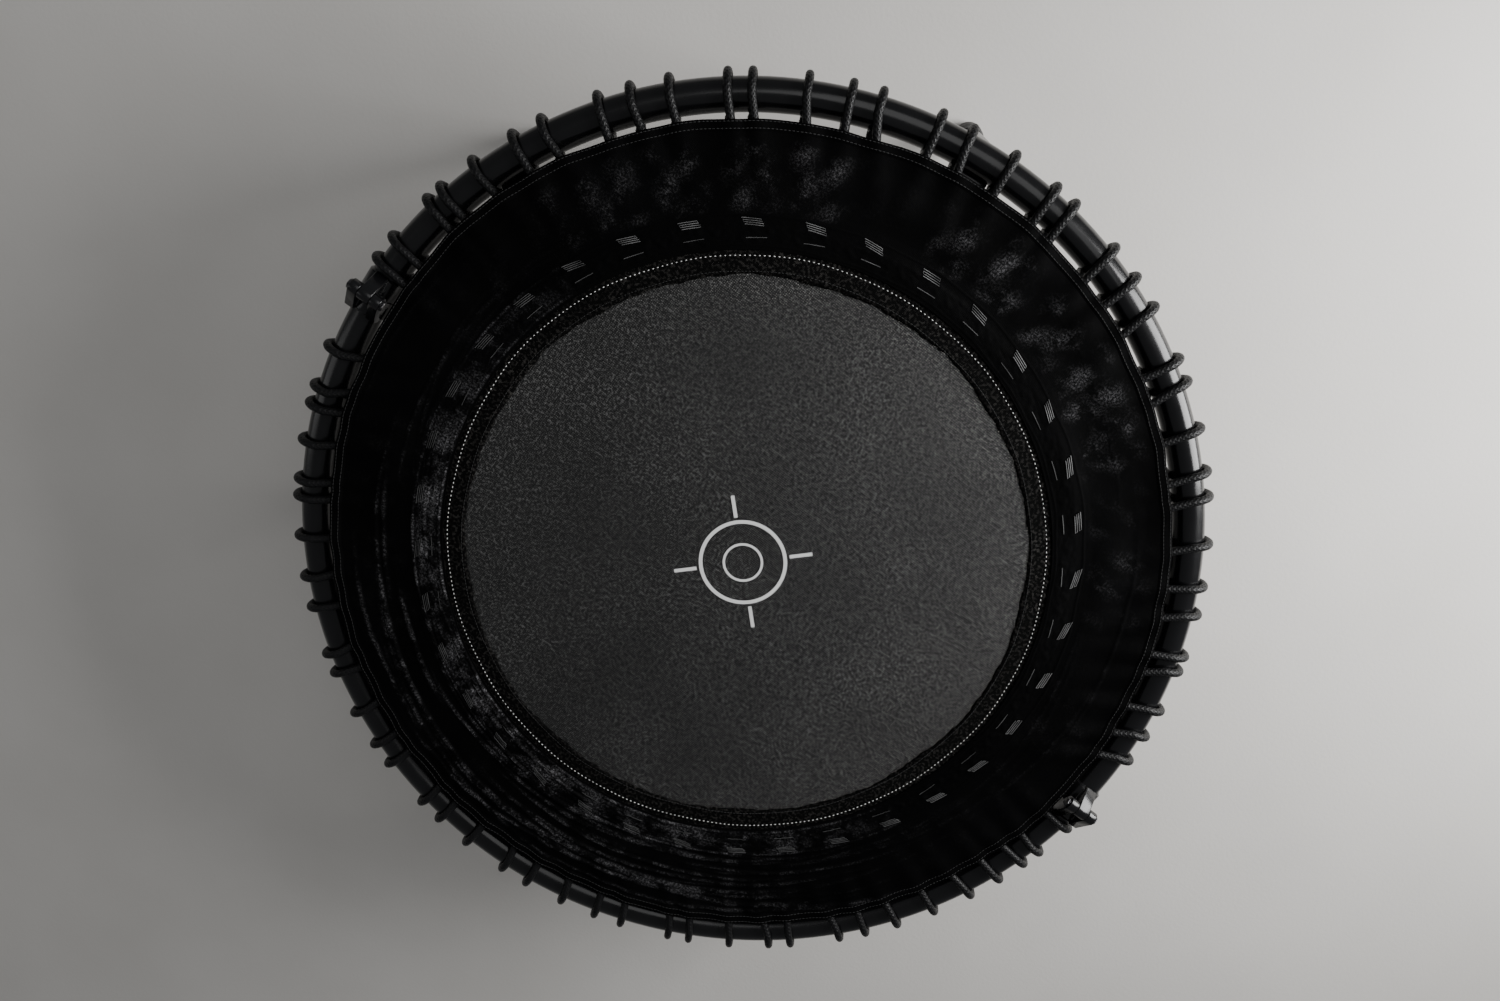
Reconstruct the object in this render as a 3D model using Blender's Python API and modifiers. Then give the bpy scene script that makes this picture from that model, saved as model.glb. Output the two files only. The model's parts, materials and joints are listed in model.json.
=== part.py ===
"""A half-folding fitness trampoline, standing on its six feet.

Metres, +Z up. The origin is on the floor under the middle of the mat, and +X runs along the fold line.
Angles round the ring are in degrees, anticlockwise from +X as seen from above.
"""

import math

import bmesh
import bpy
from mathutils import Matrix, Vector

OBJECT_NAME = "mini_trampoline"

# The ring: a steel tube bent to a circle and split along the fold line.
RING_RADIUS = 0.540
RING_HEIGHT = 0.315
TUBE_RADIUS = 0.019
TUBE_WALL = 0.0025
RING_SEGMENTS = 60
TUBE_SIDES = 14
BORE_SIDES = 10
FOLD_GAP = 0.0005

# The fold hinges: leaves welded to a collar on each tube end, turning on a pin above the tube.
HINGE_RISE = 0.034
KNUCKLE_RADIUS = 0.009
MIDDLE_LEAF = 0.016
OUTER_LEAF = 0.012
LEAF_GAP = 0.0004
LEAF_REACH = 0.027
LEAF_SHOULDER = 0.024
LEAF_TOE = 0.012
LEAF_BASE = 0.006
LEAF_BASE_REACH = 0.022
LEAF_THROAT = 0.0045
LEAF_THROAT_TOP = 0.0195
BARREL_START = 40.0
BARREL_STEP = 32.5
BARREL_STEPS = 8
PIN_RADIUS = 0.004
PIN_HEAD_RADIUS = 0.0068
PIN_HEAD_THICKNESS = 0.003
PIN_CLEARANCE = 0.0005
PIN_BORE_HALF = 0.03
PIN_SIDES = 12
COLLAR_RADIUS = 0.022
COLLAR_LENGTH = 0.024
COLLAR_OVERRUN = 0.002

# The legs: tubes held in saddles under the ring, that bend down below it and splay out to the floor.
LEG_ANGLES = (37.0, 97.0, 157.0)
LEG_RADIUS = 0.015
LEG_WALL = 0.002
LEG_DROP = 0.038
LEG_BEND = 0.035
LEG_BEND_STEPS = 6
LEG_BEND_START = 0.520
LEG_SPLAY = math.radians(10.0)
LEG_INNER_END = 0.464
LEG_TIP_GAP = 0.0036
LEG_BORE_OVERRUN = 0.02
SADDLE_MIDDLE = 0.512
SADDLE_HALF_WIDTH = 0.019
SADDLE_HALF_LENGTH = 0.024
SADDLE_BOTTOM = 0.032
SADDLE_TOP = 0.010
SADDLE_CLEARANCE = 0.0006

# The rubber feet.
FOOT_HEIGHT = 0.056
FOOT_RADIUS = 0.0200
FOOT_FLAT = 0.014
FOOT_SOLE = 0.010
FOOT_SIDES = 14
SOCKET_RADIUS = 0.0160

# The T-handled knobs that bolt the legs to the ring.
KNOB_RADIUS_OUT = 0.500
SCREW_RADIUS = 0.004
SCREW_HOLE = 0.0047
SCREW_TIP = 0.018
SCREW_HOLE_SIDES = 12
DRILL_START = 0.07
DRILL_LEG_END = 0.010
DRILL_SADDLE_END = 0.0145
KNOB_NECK_RADIUS = 0.010
KNOB_NECK_HEIGHT = 0.016
KNOB_BAR_RADIUS = 0.008
KNOB_BAR_HALF = 0.030
KNOB_BAR_OVERLAP = 0.003
KNOB_FLANGE = 0.002
KNOB_WAIST = 0.003
KNOB_SIDES = 12
KNOB_GAP = 0.0004

# The elastic cords: each loops through the mat's edge, and both ends wrap round the tube.
CORDS_PER_HALF = 18
CORD_RADIUS = 0.005
CORD_STEP = 10.0
WRAP_RADIUS = 0.0272
WRAP_START = 96.5
WRAP_END = -135.0
WRAP_STEPS = 5
BIGHT_RADIUS = 0.410
BIGHT_DEPTH = 0.008
BIGHT_HALF_WIDTH = 0.008
BIGHT_RISE = 0.0135
FIRST_WRAP = 8.8
LAST_WRAP = 176.2
LEG_CLEAR = 2.8
WRAPS_PER_BAY = (7, 12, 12, 5)
WRAP_WOBBLE = 1.15
WOBBLE_RATE = 2.4

# The mat with its skirt: a flat sheet inside, and a flounce rising over the cords outside.
MAT_BOTTOM = 0.0175
MAT_TOP = 0.0205
MAT_FLAT_RADIUS = 0.385
MAT_EDGE_RADIUS = 0.401
SKIRT_ROOT_RISE = 0.0198
SKIRT_EDGE_RADIUS = 0.512
SKIRT_EDGE_RISE = 0.0302
SKIRT_THICKNESS = 0.002
MAT_STEPS = 48
MAT_GAP = 0.0003

HALVES = (("front", -1), ("back", 1))
# How far the boxes that cut a half away reach, sideways, below the ring, and above and below the mat.
FAR = 1.0
CUT_BELOW = 0.06
MAT_CUT_HALF = 0.1
# The small chamfer on turned ends, and the distances within which points are merged.
EASE = 0.001
WELD_DISTANCE = 0.00001
TURN_MERGE = 0.0001
SHARP_ANGLE = math.radians(40)


def clear_scene():
    for old in list(bpy.data.objects):
        bpy.data.objects.remove(old)


def new_collection(name):
    made = bpy.data.collections.new(name)
    bpy.context.scene.collection.children.link(made)
    return made


def new_material(name, colour, roughness, metallic=0.0):
    made = bpy.data.materials.new(name)
    made.use_nodes = True
    shader = made.node_tree.nodes["Principled BSDF"]
    shader.inputs["Base Color"].default_value = (*colour, 1.0)
    shader.inputs["Roughness"].default_value = roughness
    shader.inputs["Metallic"].default_value = metallic
    return made


def place(name, mesh, collection, material=None):
    """A new object of that mesh, shaded smooth except along its sharp edges."""
    made = bpy.data.objects.new(name, mesh)
    collection.objects.link(made)
    if material is not None:
        mesh.materials.clear()
        mesh.materials.append(material)
        mesh.shade_smooth()
        mesh.set_sharp_from_angle(angle=SHARP_ANGLE)
    return made


def polar(radius, degrees, height=0.0):
    angle = math.radians(degrees)
    return Vector((radius * math.cos(angle), radius * math.sin(angle), height))


def turn(degrees):
    return Matrix.Rotation(math.radians(degrees), 4, "Z")


def add_cylinder(shape, start, end, radius, sides=16):
    along = end - start
    rotation = along.to_track_quat("Z", "Y").to_matrix().to_4x4()
    middle = Matrix.Translation((start + end) / 2) @ rotation
    bmesh.ops.create_cone(
        shape,
        cap_ends=True,
        segments=sides,
        radius1=radius,
        radius2=radius,
        depth=along.length,
        matrix=middle,
    )


def add_box(shape, low, high, frame=None):
    size = Vector(high) - Vector(low)
    middle = (Vector(high) + Vector(low)) / 2
    matrix = Matrix.Translation(middle) @ Matrix.Diagonal((*size, 1.0))
    if frame is not None:
        matrix = frame @ matrix
    bmesh.ops.create_cube(shape, size=1.0, matrix=matrix)


def mesh_of(shape, name):
    mesh = bpy.data.meshes.new(name)
    shape.to_mesh(mesh)
    shape.free()
    return mesh


def as_cutter(obj):
    """Marks an object that only shapes others, and moves it to the cutters' collection."""
    for holder in list(obj.users_collection):
        holder.objects.unlink(obj)
    cutters.objects.link(obj)
    obj.hide_render = True
    obj.display_type = "WIRE"
    return obj


def boolean(target, tool, operation):
    modifier = target.modifiers.new(operation.lower(), "BOOLEAN")
    modifier.operation = operation
    modifier.solver = "EXACT"
    modifier.object = tool


def finished_mesh(obj):
    """The mesh of an object as its modifiers leave it. The object itself is removed."""
    bpy.context.view_layer.update()
    evaluated = obj.evaluated_get(bpy.context.evaluated_depsgraph_get())
    mesh = bpy.data.meshes.new_from_object(evaluated)
    bpy.data.objects.remove(obj)
    return mesh


def weld(mesh):
    shape = bmesh.new()
    shape.from_mesh(mesh)
    bmesh.ops.remove_doubles(shape, verts=shape.verts, dist=WELD_DISTANCE)
    bmesh.ops.recalc_face_normals(shape, faces=shape.faces)
    shape.to_mesh(mesh)
    shape.free()
    return mesh


def tube_mesh(name, points, radius, resolution):
    """A round tube along a run of points, closed at both ends."""
    curve = bpy.data.curves.new(name, "CURVE")
    curve.dimensions = "3D"
    curve.bevel_depth = radius
    curve.bevel_resolution = resolution
    curve.use_fill_caps = True
    spline = curve.splines.new("POLY")
    spline.points.add(len(points) - 1)
    for knot, point in zip(spline.points, points):
        knot.co = (*point, 1.0)
    return weld(finished_mesh(place(name, curve, assembly)))


def turned_mesh(name, profile, steps):
    """A solid turned about Z from a profile that runs from its top, down its outer side, to its base."""
    mesh = bpy.data.meshes.new(name)
    edges = [(i, i + 1) for i in range(len(profile) - 1)]
    mesh.from_pydata([(x, 0.0, z) for x, z in profile], edges, [])
    obj = place(name, mesh, assembly)
    screw = obj.modifiers.new("turn", "SCREW")
    screw.axis = "Z"
    screw.steps = steps
    screw.render_steps = steps
    screw.use_merge_vertices = True
    screw.merge_threshold = TURN_MERGE
    return weld(finished_mesh(obj))


def torus_mesh(name, minor, sides):
    bpy.ops.mesh.primitive_torus_add(
        major_radius=RING_RADIUS,
        minor_radius=minor,
        major_segments=RING_SEGMENTS,
        minor_segments=sides,
        location=(0.0, 0.0, RING_HEIGHT),
    )
    made = bpy.context.object
    made.name = name
    return made


def half_name(kind, half):
    return f"{kind}_{half}"


def leg_angles(side):
    """The three leg angles of one half. The halves are each other turned half round."""
    return [angle if side > 0 else angle + 180.0 for angle in LEG_ANGLES]


# ---- the ring halves -------------------------------------------------------------------------------


def leaf_outline():
    """Outline of one hinge leaf: (distance from the fold plane, height above the ring's middle)."""
    barrel = []
    for step in range(BARREL_STEPS + 1):
        angle = math.radians(BARREL_START + step * BARREL_STEP)
        barrel.append((KNUCKLE_RADIUS * math.cos(angle), HINGE_RISE + KNUCKLE_RADIUS * math.sin(angle)))
    foot = [(LEAF_THROAT, LEAF_THROAT_TOP), (LEAF_THROAT, LEAF_BASE), (LEAF_BASE_REACH, LEAF_BASE)]
    foot += [(LEAF_REACH, LEAF_TOE), (LEAF_REACH, LEAF_SHOULDER)]
    return barrel + foot


def add_leaf(shape, x_low, x_high, side):
    """One leaf: the outline stretched along X, on its own side of the fold plane."""
    corners = [shape.verts.new((x_low, side * d, RING_HEIGHT + z)) for d, z in leaf_outline()]
    face = shape.faces.new(corners)
    moved = bmesh.ops.extrude_face_region(shape, geom=[face])["geom"]
    for item in moved:
        if isinstance(item, bmesh.types.BMVert):
            item.co.x = x_high
    bmesh.ops.recalc_face_normals(shape, faces=shape.faces)


def leaf_spans(side):
    """Where the leaves of one half lie along the pin, counted from the ring's radius."""
    half = MIDDLE_LEAF / 2
    if side > 0:
        return [(-half, half)]
    inner = half + LEAF_GAP
    return [(-inner - OUTER_LEAF, -inner), (inner, inner + OUTER_LEAF)]


def hinge_leaves(side):
    shape = bmesh.new()
    for end in (-1, 1):
        for low, high in leaf_spans(side):
            add_leaf(shape, end * RING_RADIUS + low, end * RING_RADIUS + high, side)
    return as_cutter(place(f"leaves_{side}", mesh_of(shape, "leaves"), cutters))


def collars_and_saddles(side):
    """The collars on the tube ends, and the saddles that the legs sit in."""
    shape = bmesh.new()
    for end in (-1, 1):
        start = Vector((end * RING_RADIUS, -side * COLLAR_OVERRUN, RING_HEIGHT))
        finish = Vector((end * RING_RADIUS, side * COLLAR_LENGTH, RING_HEIGHT))
        add_cylinder(shape, start, finish, COLLAR_RADIUS)
    for angle in leg_angles(side):
        low = (SADDLE_MIDDLE - SADDLE_HALF_LENGTH, -SADDLE_HALF_WIDTH, RING_HEIGHT - SADDLE_BOTTOM)
        high = (SADDLE_MIDDLE + SADDLE_HALF_LENGTH, SADDLE_HALF_WIDTH, RING_HEIGHT - SADDLE_TOP)
        add_box(shape, low, high, turn(angle))
    return as_cutter(place(f"welded_on_{side}", mesh_of(shape, "welded_on"), cutters))


def ring_hollow(side):
    """What is bored out of a ring half: the tube's inside, the pin holes and the grooves for the legs."""
    hollow = torus_mesh(f"hollow_{side}", TUBE_RADIUS - TUBE_WALL, BORE_SIDES)
    hollow.data.transform(Matrix.Translation(hollow.location))
    hollow.location = (0.0, 0.0, 0.0)
    shape = bmesh.new()
    shape.from_mesh(hollow.data)
    reach = Vector((PIN_BORE_HALF, 0.0, 0.0))
    for end in (-1, 1):
        middle = Vector((end * RING_RADIUS, 0.0, RING_HEIGHT + HINGE_RISE))
        add_cylinder(shape, middle - reach, middle + reach, PIN_RADIUS + PIN_CLEARANCE)
    for angle in leg_angles(side):
        start = polar(SADDLE_MIDDLE - 2 * SADDLE_HALF_LENGTH, angle, RING_HEIGHT - LEG_DROP)
        finish = polar(SADDLE_MIDDLE + 2 * SADDLE_HALF_LENGTH, angle, RING_HEIGHT - LEG_DROP)
        add_cylinder(shape, start, finish, LEG_RADIUS + SADDLE_CLEARANCE)
    shape.to_mesh(hollow.data)
    shape.free()
    return as_cutter(hollow)


def other_half(side):
    """The other half's space, up to the hinge leaves, with the holes for the leg screws."""
    shape = bmesh.new()
    near, far = sorted((side * FOLD_GAP, -side * FAR))
    low = (-FAR, near, RING_HEIGHT - CUT_BELOW)
    high = (FAR, far, RING_HEIGHT + (COLLAR_RADIUS + HINGE_RISE - KNUCKLE_RADIUS) / 2)
    add_box(shape, low, high)
    for angle in leg_angles(side):
        start = polar(KNOB_RADIUS_OUT, angle, RING_HEIGHT - DRILL_START)
        finish = polar(KNOB_RADIUS_OUT, angle, RING_HEIGHT - DRILL_SADDLE_END)
        add_cylinder(shape, start, finish, SCREW_HOLE, SCREW_HOLE_SIDES)
    return as_cutter(place(f"other_half_{side}", mesh_of(shape, "other_half"), cutters))


def make_ring_half(half, side, material):
    ring = torus_mesh("ring", TUBE_RADIUS, TUBE_SIDES)
    boolean(ring, collars_and_saddles(side), "UNION")
    boolean(ring, hinge_leaves(side), "UNION")
    boolean(ring, ring_hollow(side), "DIFFERENCE")
    boolean(ring, other_half(side), "DIFFERENCE")
    mesh = finished_mesh(ring)
    mesh.transform(Matrix.Translation((0.0, 0.0, RING_HEIGHT)))
    hinge_line = Vector((0.0, 0.0, RING_HEIGHT + HINGE_RISE))
    mesh.transform(Matrix.Translation(-hinge_line))
    made = place(half_name("frame_half", half), mesh, assembly, material)
    made.location = hinge_line


# ---- the hinge pins --------------------------------------------------------------------------------


def make_pins(material):
    """A pin through each hinge, with a head at both ends."""
    grip = MIDDLE_LEAF / 2 + LEAF_GAP + OUTER_LEAF + LEAF_GAP
    top = grip + PIN_HEAD_THICKNESS
    profile = [(0.0, top), (PIN_HEAD_RADIUS - EASE, top), (PIN_HEAD_RADIUS, top - EASE)]
    profile += [(PIN_HEAD_RADIUS, grip), (PIN_RADIUS, grip)]
    profile += [(x, -z) for x, z in reversed(profile)]
    for name, end in (("hinge_pin_left", -1), ("hinge_pin_right", 1)):
        mesh = turned_mesh("pin", profile, PIN_SIDES)
        made = place(name, mesh, assembly, material)
        made.rotation_euler = (0.0, math.radians(90), 0.0)
        made.location = (end * RING_RADIUS, 0.0, RING_HEIGHT + HINGE_RISE)


# ---- the legs, feet and knobs ----------------------------------------------------------------------


def leg_out(height):
    """How far out the splayed part of a leg's centre line is at a height."""
    bend_end = RING_HEIGHT - LEG_DROP - LEG_BEND + LEG_BEND * math.sin(LEG_SPLAY)
    return LEG_BEND_START + LEG_BEND * math.cos(LEG_SPLAY) + (bend_end - height) * math.tan(LEG_SPLAY)


def leg_line(extra=0.0):
    """The leg's centre line in the XZ plane. extra lengthens it at both ends."""
    top = RING_HEIGHT - LEG_DROP
    points = [Vector((LEG_INNER_END - extra, 0.0, top)), Vector((LEG_BEND_START, 0.0, top))]
    for step in range(1, LEG_BEND_STEPS + 1):
        turned = (math.pi / 2 - LEG_SPLAY) * step / LEG_BEND_STEPS
        x = LEG_BEND_START + LEG_BEND * math.sin(turned)
        z = top - LEG_BEND + LEG_BEND * math.cos(turned)
        points.append(Vector((x, 0.0, z)))
    tip = FOOT_SOLE + LEG_TIP_GAP - extra
    points.append(Vector((leg_out(tip), 0.0, tip)))
    return points


def leg_mesh():
    leg = place("leg", tube_mesh("leg_outer", leg_line(), LEG_RADIUS, 3), assembly)
    inside = tube_mesh("leg_inner", leg_line(LEG_BORE_OVERRUN), LEG_RADIUS - LEG_WALL, 2)
    bore = place("leg_bore", inside, cutters)
    shape = bmesh.new()
    start = Vector((KNOB_RADIUS_OUT, 0.0, RING_HEIGHT - DRILL_START))
    finish = Vector((KNOB_RADIUS_OUT, 0.0, RING_HEIGHT - DRILL_LEG_END))
    add_cylinder(shape, start, finish, SCREW_HOLE, SCREW_HOLE_SIDES)
    hole = place("leg_hole", mesh_of(shape, "leg_hole"), cutters)
    boolean(leg, as_cutter(bore), "DIFFERENCE")
    boolean(leg, as_cutter(hole), "DIFFERENCE")
    return finished_mesh(leg)


def foot_mesh():
    """A rubber cap with a flat sole and a socket that leans with the leg."""
    r = FOOT_RADIUS
    profile = [
        (0.0, FOOT_SOLE),
        (SOCKET_RADIUS, FOOT_SOLE),
        (SOCKET_RADIUS, FOOT_HEIGHT),
        (r - 0.003, FOOT_HEIGHT),
        (r - 0.0015, FOOT_HEIGHT - 0.002),
        (r - 0.001, FOOT_SOLE + 0.006),
        (r, FOOT_SOLE + 0.002),
        (r - 0.0005, FOOT_SOLE - 0.004),
        (r - 0.003, 0.0018),
        (FOOT_FLAT, 0.0),
        (0.0, 0.0),
    ]
    foot = turned_mesh("foot", profile, FOOT_SIDES)
    for vertex in foot.vertices:
        vertex.co.x -= vertex.co.z * math.tan(LEG_SPLAY)
    return foot


def knob_mesh():
    """A T-handle under its neck, with the screw standing up from it. The mesh's origin is at the neck's top."""
    neck = -KNOB_NECK_HEIGHT
    bar = neck - KNOB_BAR_RADIUS + KNOB_BAR_OVERLAP
    flange = KNOB_NECK_RADIUS + KNOB_FLANGE
    waist = KNOB_NECK_RADIUS - KNOB_WAIST
    screw = LEG_DROP + LEG_RADIUS - SCREW_TIP
    profile = [
        (0.0, screw),
        (SCREW_RADIUS - EASE, screw),
        (SCREW_RADIUS, screw - EASE),
        (SCREW_RADIUS, 0.0),
        (flange, 0.0),
        (flange, -KNOB_FLANGE),
        (waist, -2 * KNOB_FLANGE),
        (waist, neck),
        (0.0, neck),
    ]
    knob = place("knob", turned_mesh("knob", profile, KNOB_SIDES), assembly)
    shape = bmesh.new()
    reach = KNOB_BAR_HALF
    add_cylinder(shape, Vector((0.0, -reach, bar)), Vector((0.0, reach, bar)), KNOB_BAR_RADIUS, KNOB_SIDES)
    ends = [edge for edge in shape.edges if abs(edge.verts[0].co.y - edge.verts[1].co.y) < KNOB_BAR_RADIUS]
    bmesh.ops.bevel(shape, geom=ends, offset=KNOB_BAR_OVERLAP, segments=1, affect="EDGES")
    boolean(knob, as_cutter(place("knob_bar", mesh_of(shape, "knob_bar"), cutters)), "UNION")
    return finished_mesh(knob)


def make_legs(metal, rubber, plastic):
    leg, foot, knob = leg_mesh(), foot_mesh(), knob_mesh()
    knob_top = RING_HEIGHT - LEG_DROP - LEG_RADIUS - KNOB_GAP
    angles = leg_angles(1) + leg_angles(-1)
    for number, angle in enumerate(angles, start=1):
        spin = (0.0, 0.0, math.radians(angle))
        upright = place(f"leg_{number}", leg, assembly, metal)
        upright.rotation_euler = spin
        cap = place(f"foot_{number}", foot, assembly, rubber)
        cap.location = polar(leg_out(0.0), angle)
        cap.rotation_euler = spin
        handle = place(f"leg_knob_{number}", knob, assembly, plastic)
        handle.location = polar(KNOB_RADIUS_OUT, angle, knob_top)
        handle.rotation_euler = spin


# ---- the cords -------------------------------------------------------------------------------------


def wrap_angles(side):
    """Where one half's wraps lie: spread through the bays between its hinges and its legs, a little unevenly."""
    stops = [FIRST_WRAP]
    for angle in LEG_ANGLES:
        stops += [angle - LEG_CLEAR, angle + LEG_CLEAR]
    stops.append(LAST_WRAP)
    angles = []
    for bay, count in enumerate(WRAPS_PER_BAY):
        low, high = stops[2 * bay], stops[2 * bay + 1]
        for k in range(count):
            inside = 0 < k < count - 1
            wobble = WRAP_WOBBLE * math.sin(WOBBLE_RATE * len(angles) + side) if inside else 0.0
            angles.append(low + (high - low) * k / (count - 1) + wobble)
    turned = 0.0 if side > 0 else 180.0
    return [angle + turned for angle in angles]


def wrap_points(angle):
    """One wrap round the tube, from the top, over the outside and under."""
    points = []
    for step in range(WRAP_STEPS + 1):
        around = math.radians(WRAP_START + (WRAP_END - WRAP_START) * step / WRAP_STEPS)
        radius = RING_RADIUS + WRAP_RADIUS * math.cos(around)
        points.append(polar(radius, angle, RING_HEIGHT + WRAP_RADIUS * math.sin(around)))
    return points


def cord_line(number, first, second, side):
    """One cord: under the tube at its first wrap, in to the mat's edge, and back out to its second wrap."""
    middle = CORD_STEP * (number + 0.5) + (0.0 if side > 0 else 180.0)
    height = RING_HEIGHT + BIGHT_RISE
    spread = math.degrees(BIGHT_HALF_WIDTH / BIGHT_RADIUS)
    bight = [
        polar(BIGHT_RADIUS + BIGHT_DEPTH, middle - spread, height),
        polar(BIGHT_RADIUS, middle, height),
        polar(BIGHT_RADIUS + BIGHT_DEPTH, middle + spread, height),
    ]
    return list(reversed(wrap_points(first))) + bight + wrap_points(second)


def make_cords(material):
    total = 0
    for _, side in reversed(HALVES):
        angles = wrap_angles(side)
        for number in range(CORDS_PER_HALF):
            total += 1
            line = cord_line(number, angles[2 * number], angles[2 * number + 1], side)
            mesh = tube_mesh("cord", line, CORD_RADIUS, 1)
            place(f"cord_{total:02d}", mesh, assembly, material)


# ---- the mat ---------------------------------------------------------------------------------------


def make_mat_halves(material):
    profile = [
        (0.0, MAT_TOP),
        (MAT_FLAT_RADIUS, MAT_TOP),
        (MAT_EDGE_RADIUS, SKIRT_ROOT_RISE + SKIRT_THICKNESS),
        (SKIRT_EDGE_RADIUS, SKIRT_EDGE_RISE + SKIRT_THICKNESS),
        (SKIRT_EDGE_RADIUS, SKIRT_EDGE_RISE),
        (MAT_EDGE_RADIUS, SKIRT_ROOT_RISE),
        (MAT_EDGE_RADIUS, MAT_BOTTOM),
        (0.0, MAT_BOTTOM),
    ]
    for half, side in HALVES:
        disc = place("mat", turned_mesh("mat", profile, MAT_STEPS), assembly)
        near, far = sorted((side * MAT_GAP, -side * FAR))
        shape = bmesh.new()
        add_box(shape, (-FAR, near, -MAT_CUT_HALF), (FAR, far, MAT_CUT_HALF))
        cut = place(f"mat_cut_{half}", mesh_of(shape, "mat_cut"), cutters)
        boolean(disc, as_cutter(cut), "DIFFERENCE")
        made = place(half_name("mat_half", half), finished_mesh(disc), assembly, material)
        made.location = (0.0, 0.0, RING_HEIGHT)


clear_scene()
assembly = new_collection(OBJECT_NAME)
cutters = new_collection("cutters")
paint = new_material("frame_paint", (0.012, 0.012, 0.013), 0.28)
pin_steel = new_material("pin_steel", (0.05, 0.05, 0.055), 0.35, 1.0)
foot_rubber = new_material("foot_rubber", (0.045, 0.045, 0.045), 0.75)
knob_plastic = new_material("knob_plastic", (0.02, 0.02, 0.02), 0.5)
cord_cover = new_material("cord_cover", (0.018, 0.018, 0.02), 0.7)
mat_fabric = new_material("mat_fabric", (0.015, 0.015, 0.016), 0.85)
for half_word, half_side in HALVES:
    make_ring_half(half_word, half_side, paint)
make_pins(pin_steel)
make_legs(paint, foot_rubber, knob_plastic)
make_cords(cord_cover)
make_mat_halves(mat_fabric)
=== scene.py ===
import json
import math

import bmesh
import bpy
import numpy as np
from mathutils import Matrix, Vector


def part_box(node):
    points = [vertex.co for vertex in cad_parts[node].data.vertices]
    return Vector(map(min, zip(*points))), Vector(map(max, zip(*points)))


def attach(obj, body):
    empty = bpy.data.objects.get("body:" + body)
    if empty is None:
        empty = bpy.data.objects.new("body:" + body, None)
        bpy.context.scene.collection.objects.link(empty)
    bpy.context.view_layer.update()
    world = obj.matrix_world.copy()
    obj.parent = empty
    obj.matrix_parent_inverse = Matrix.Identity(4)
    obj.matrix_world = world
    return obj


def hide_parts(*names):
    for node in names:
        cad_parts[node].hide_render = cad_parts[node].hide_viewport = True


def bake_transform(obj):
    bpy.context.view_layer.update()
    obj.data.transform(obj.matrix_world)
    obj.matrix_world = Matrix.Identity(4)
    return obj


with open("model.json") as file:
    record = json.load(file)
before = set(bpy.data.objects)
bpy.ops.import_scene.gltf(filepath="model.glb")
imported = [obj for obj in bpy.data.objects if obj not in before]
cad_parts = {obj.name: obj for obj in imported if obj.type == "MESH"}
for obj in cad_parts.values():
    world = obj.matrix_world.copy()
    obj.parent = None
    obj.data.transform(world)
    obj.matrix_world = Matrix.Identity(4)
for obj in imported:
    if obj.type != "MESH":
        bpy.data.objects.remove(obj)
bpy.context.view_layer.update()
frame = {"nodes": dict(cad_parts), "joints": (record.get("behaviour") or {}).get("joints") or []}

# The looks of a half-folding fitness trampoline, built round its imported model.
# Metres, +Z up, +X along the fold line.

# ---- sizes and places, from the frame --------------------------------------------------------------

PIN_LOW, PIN_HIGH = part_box("hinge_pin_right")
RING_RADIUS = (PIN_LOW.x + PIN_HIGH.x) / 2
HINGE_Z = (PIN_LOW.z + PIN_HIGH.z) / 2
HINGE_RISE = 0.034
RING_Z = HINGE_Z - HINGE_RISE
TUBE_RADIUS = 0.019
TUBE_BORE = 0.0165
RING_SIDES = 36
PLUG_DEPTH = 0.02
FOLD_GAP = 0.0005
COLLAR_RADIUS = 0.022
COLLAR_LENGTH = 0.024
KNUCKLE_RADIUS = 0.009
MIDDLE_LEAF = 0.016
OUTER_LEAF = 0.012
LEAF_GAP = 0.0004
LEAF_REACH = 0.027

KNOB_JOINTS = [joint for joint in frame["joints"] if joint["name"].endswith("_turn")]
LEG_ANGLES = [math.degrees(math.atan2(j["pos_m"][1], j["pos_m"][0])) for j in KNOB_JOINTS]
KNOB_OUT = math.hypot(*KNOB_JOINTS[0]["pos_m"][:2])
LEG_RADIUS = 0.015
LEG_DROP = 0.038
LEG_BEND = 0.035
LEG_BEND_START = 0.520
LEG_SPLAY = math.radians(10.0)
LEG_INNER_END = 0.464
SADDLE_MIDDLE = 0.512
SADDLE_LENGTH = 0.048
FOOT_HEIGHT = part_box("foot_1")[1].z
FOOT_RADIUS = 0.0200

CORD_RADIUS = 0.005
WRAP_RADIUS = TUBE_RADIUS + CORD_RADIUS + 0.0003
BIGHT_RISE = 0.0135
BIGHT_RADIUS = 0.410
BIGHT_HALF_WIDTH = 0.0125
STRAND_ROOT = BIGHT_RADIUS + 0.010

MAT_RISE = 0.0190
MESH_RADIUS = 0.396
MESH_RINGS = 133
MESH_COLUMNS = 288
BAND_INNER = 0.345
BAND_OUTER = 0.379
STITCH_RADIUS = 0.3676
WEB_INNER = 0.3745
WEB_OUTER = 0.398
DASH_RADIUS = 0.3872
TACK_RADIUS = 0.4045
SKIRT_INNER = 0.3735
SKIRT_OUTER = 0.5125
HEM_INNER = 0.5005

FRONT, BACK = "front_half", "back_half"
HALVES = ((FRONT, "front", -1), (BACK, "back", 1))


def polar(radius, degrees, z):
    angle = math.radians(degrees)
    return np.array([radius * math.cos(angle), radius * math.sin(angle), z])


def half_of(degrees):
    """The body of the half that an angle round the ring lies in."""
    return BACK if math.sin(math.radians(degrees)) > 0 else FRONT


def legs_of(body):
    """The angles of one half's legs."""
    return [angle for angle in LEG_ANGLES if half_of(angle) == body]


def wrapped(degrees):
    """An angle brought to within 180 degrees of nothing."""
    return (degrees + 180.0) % 360.0 - 180.0


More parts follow.
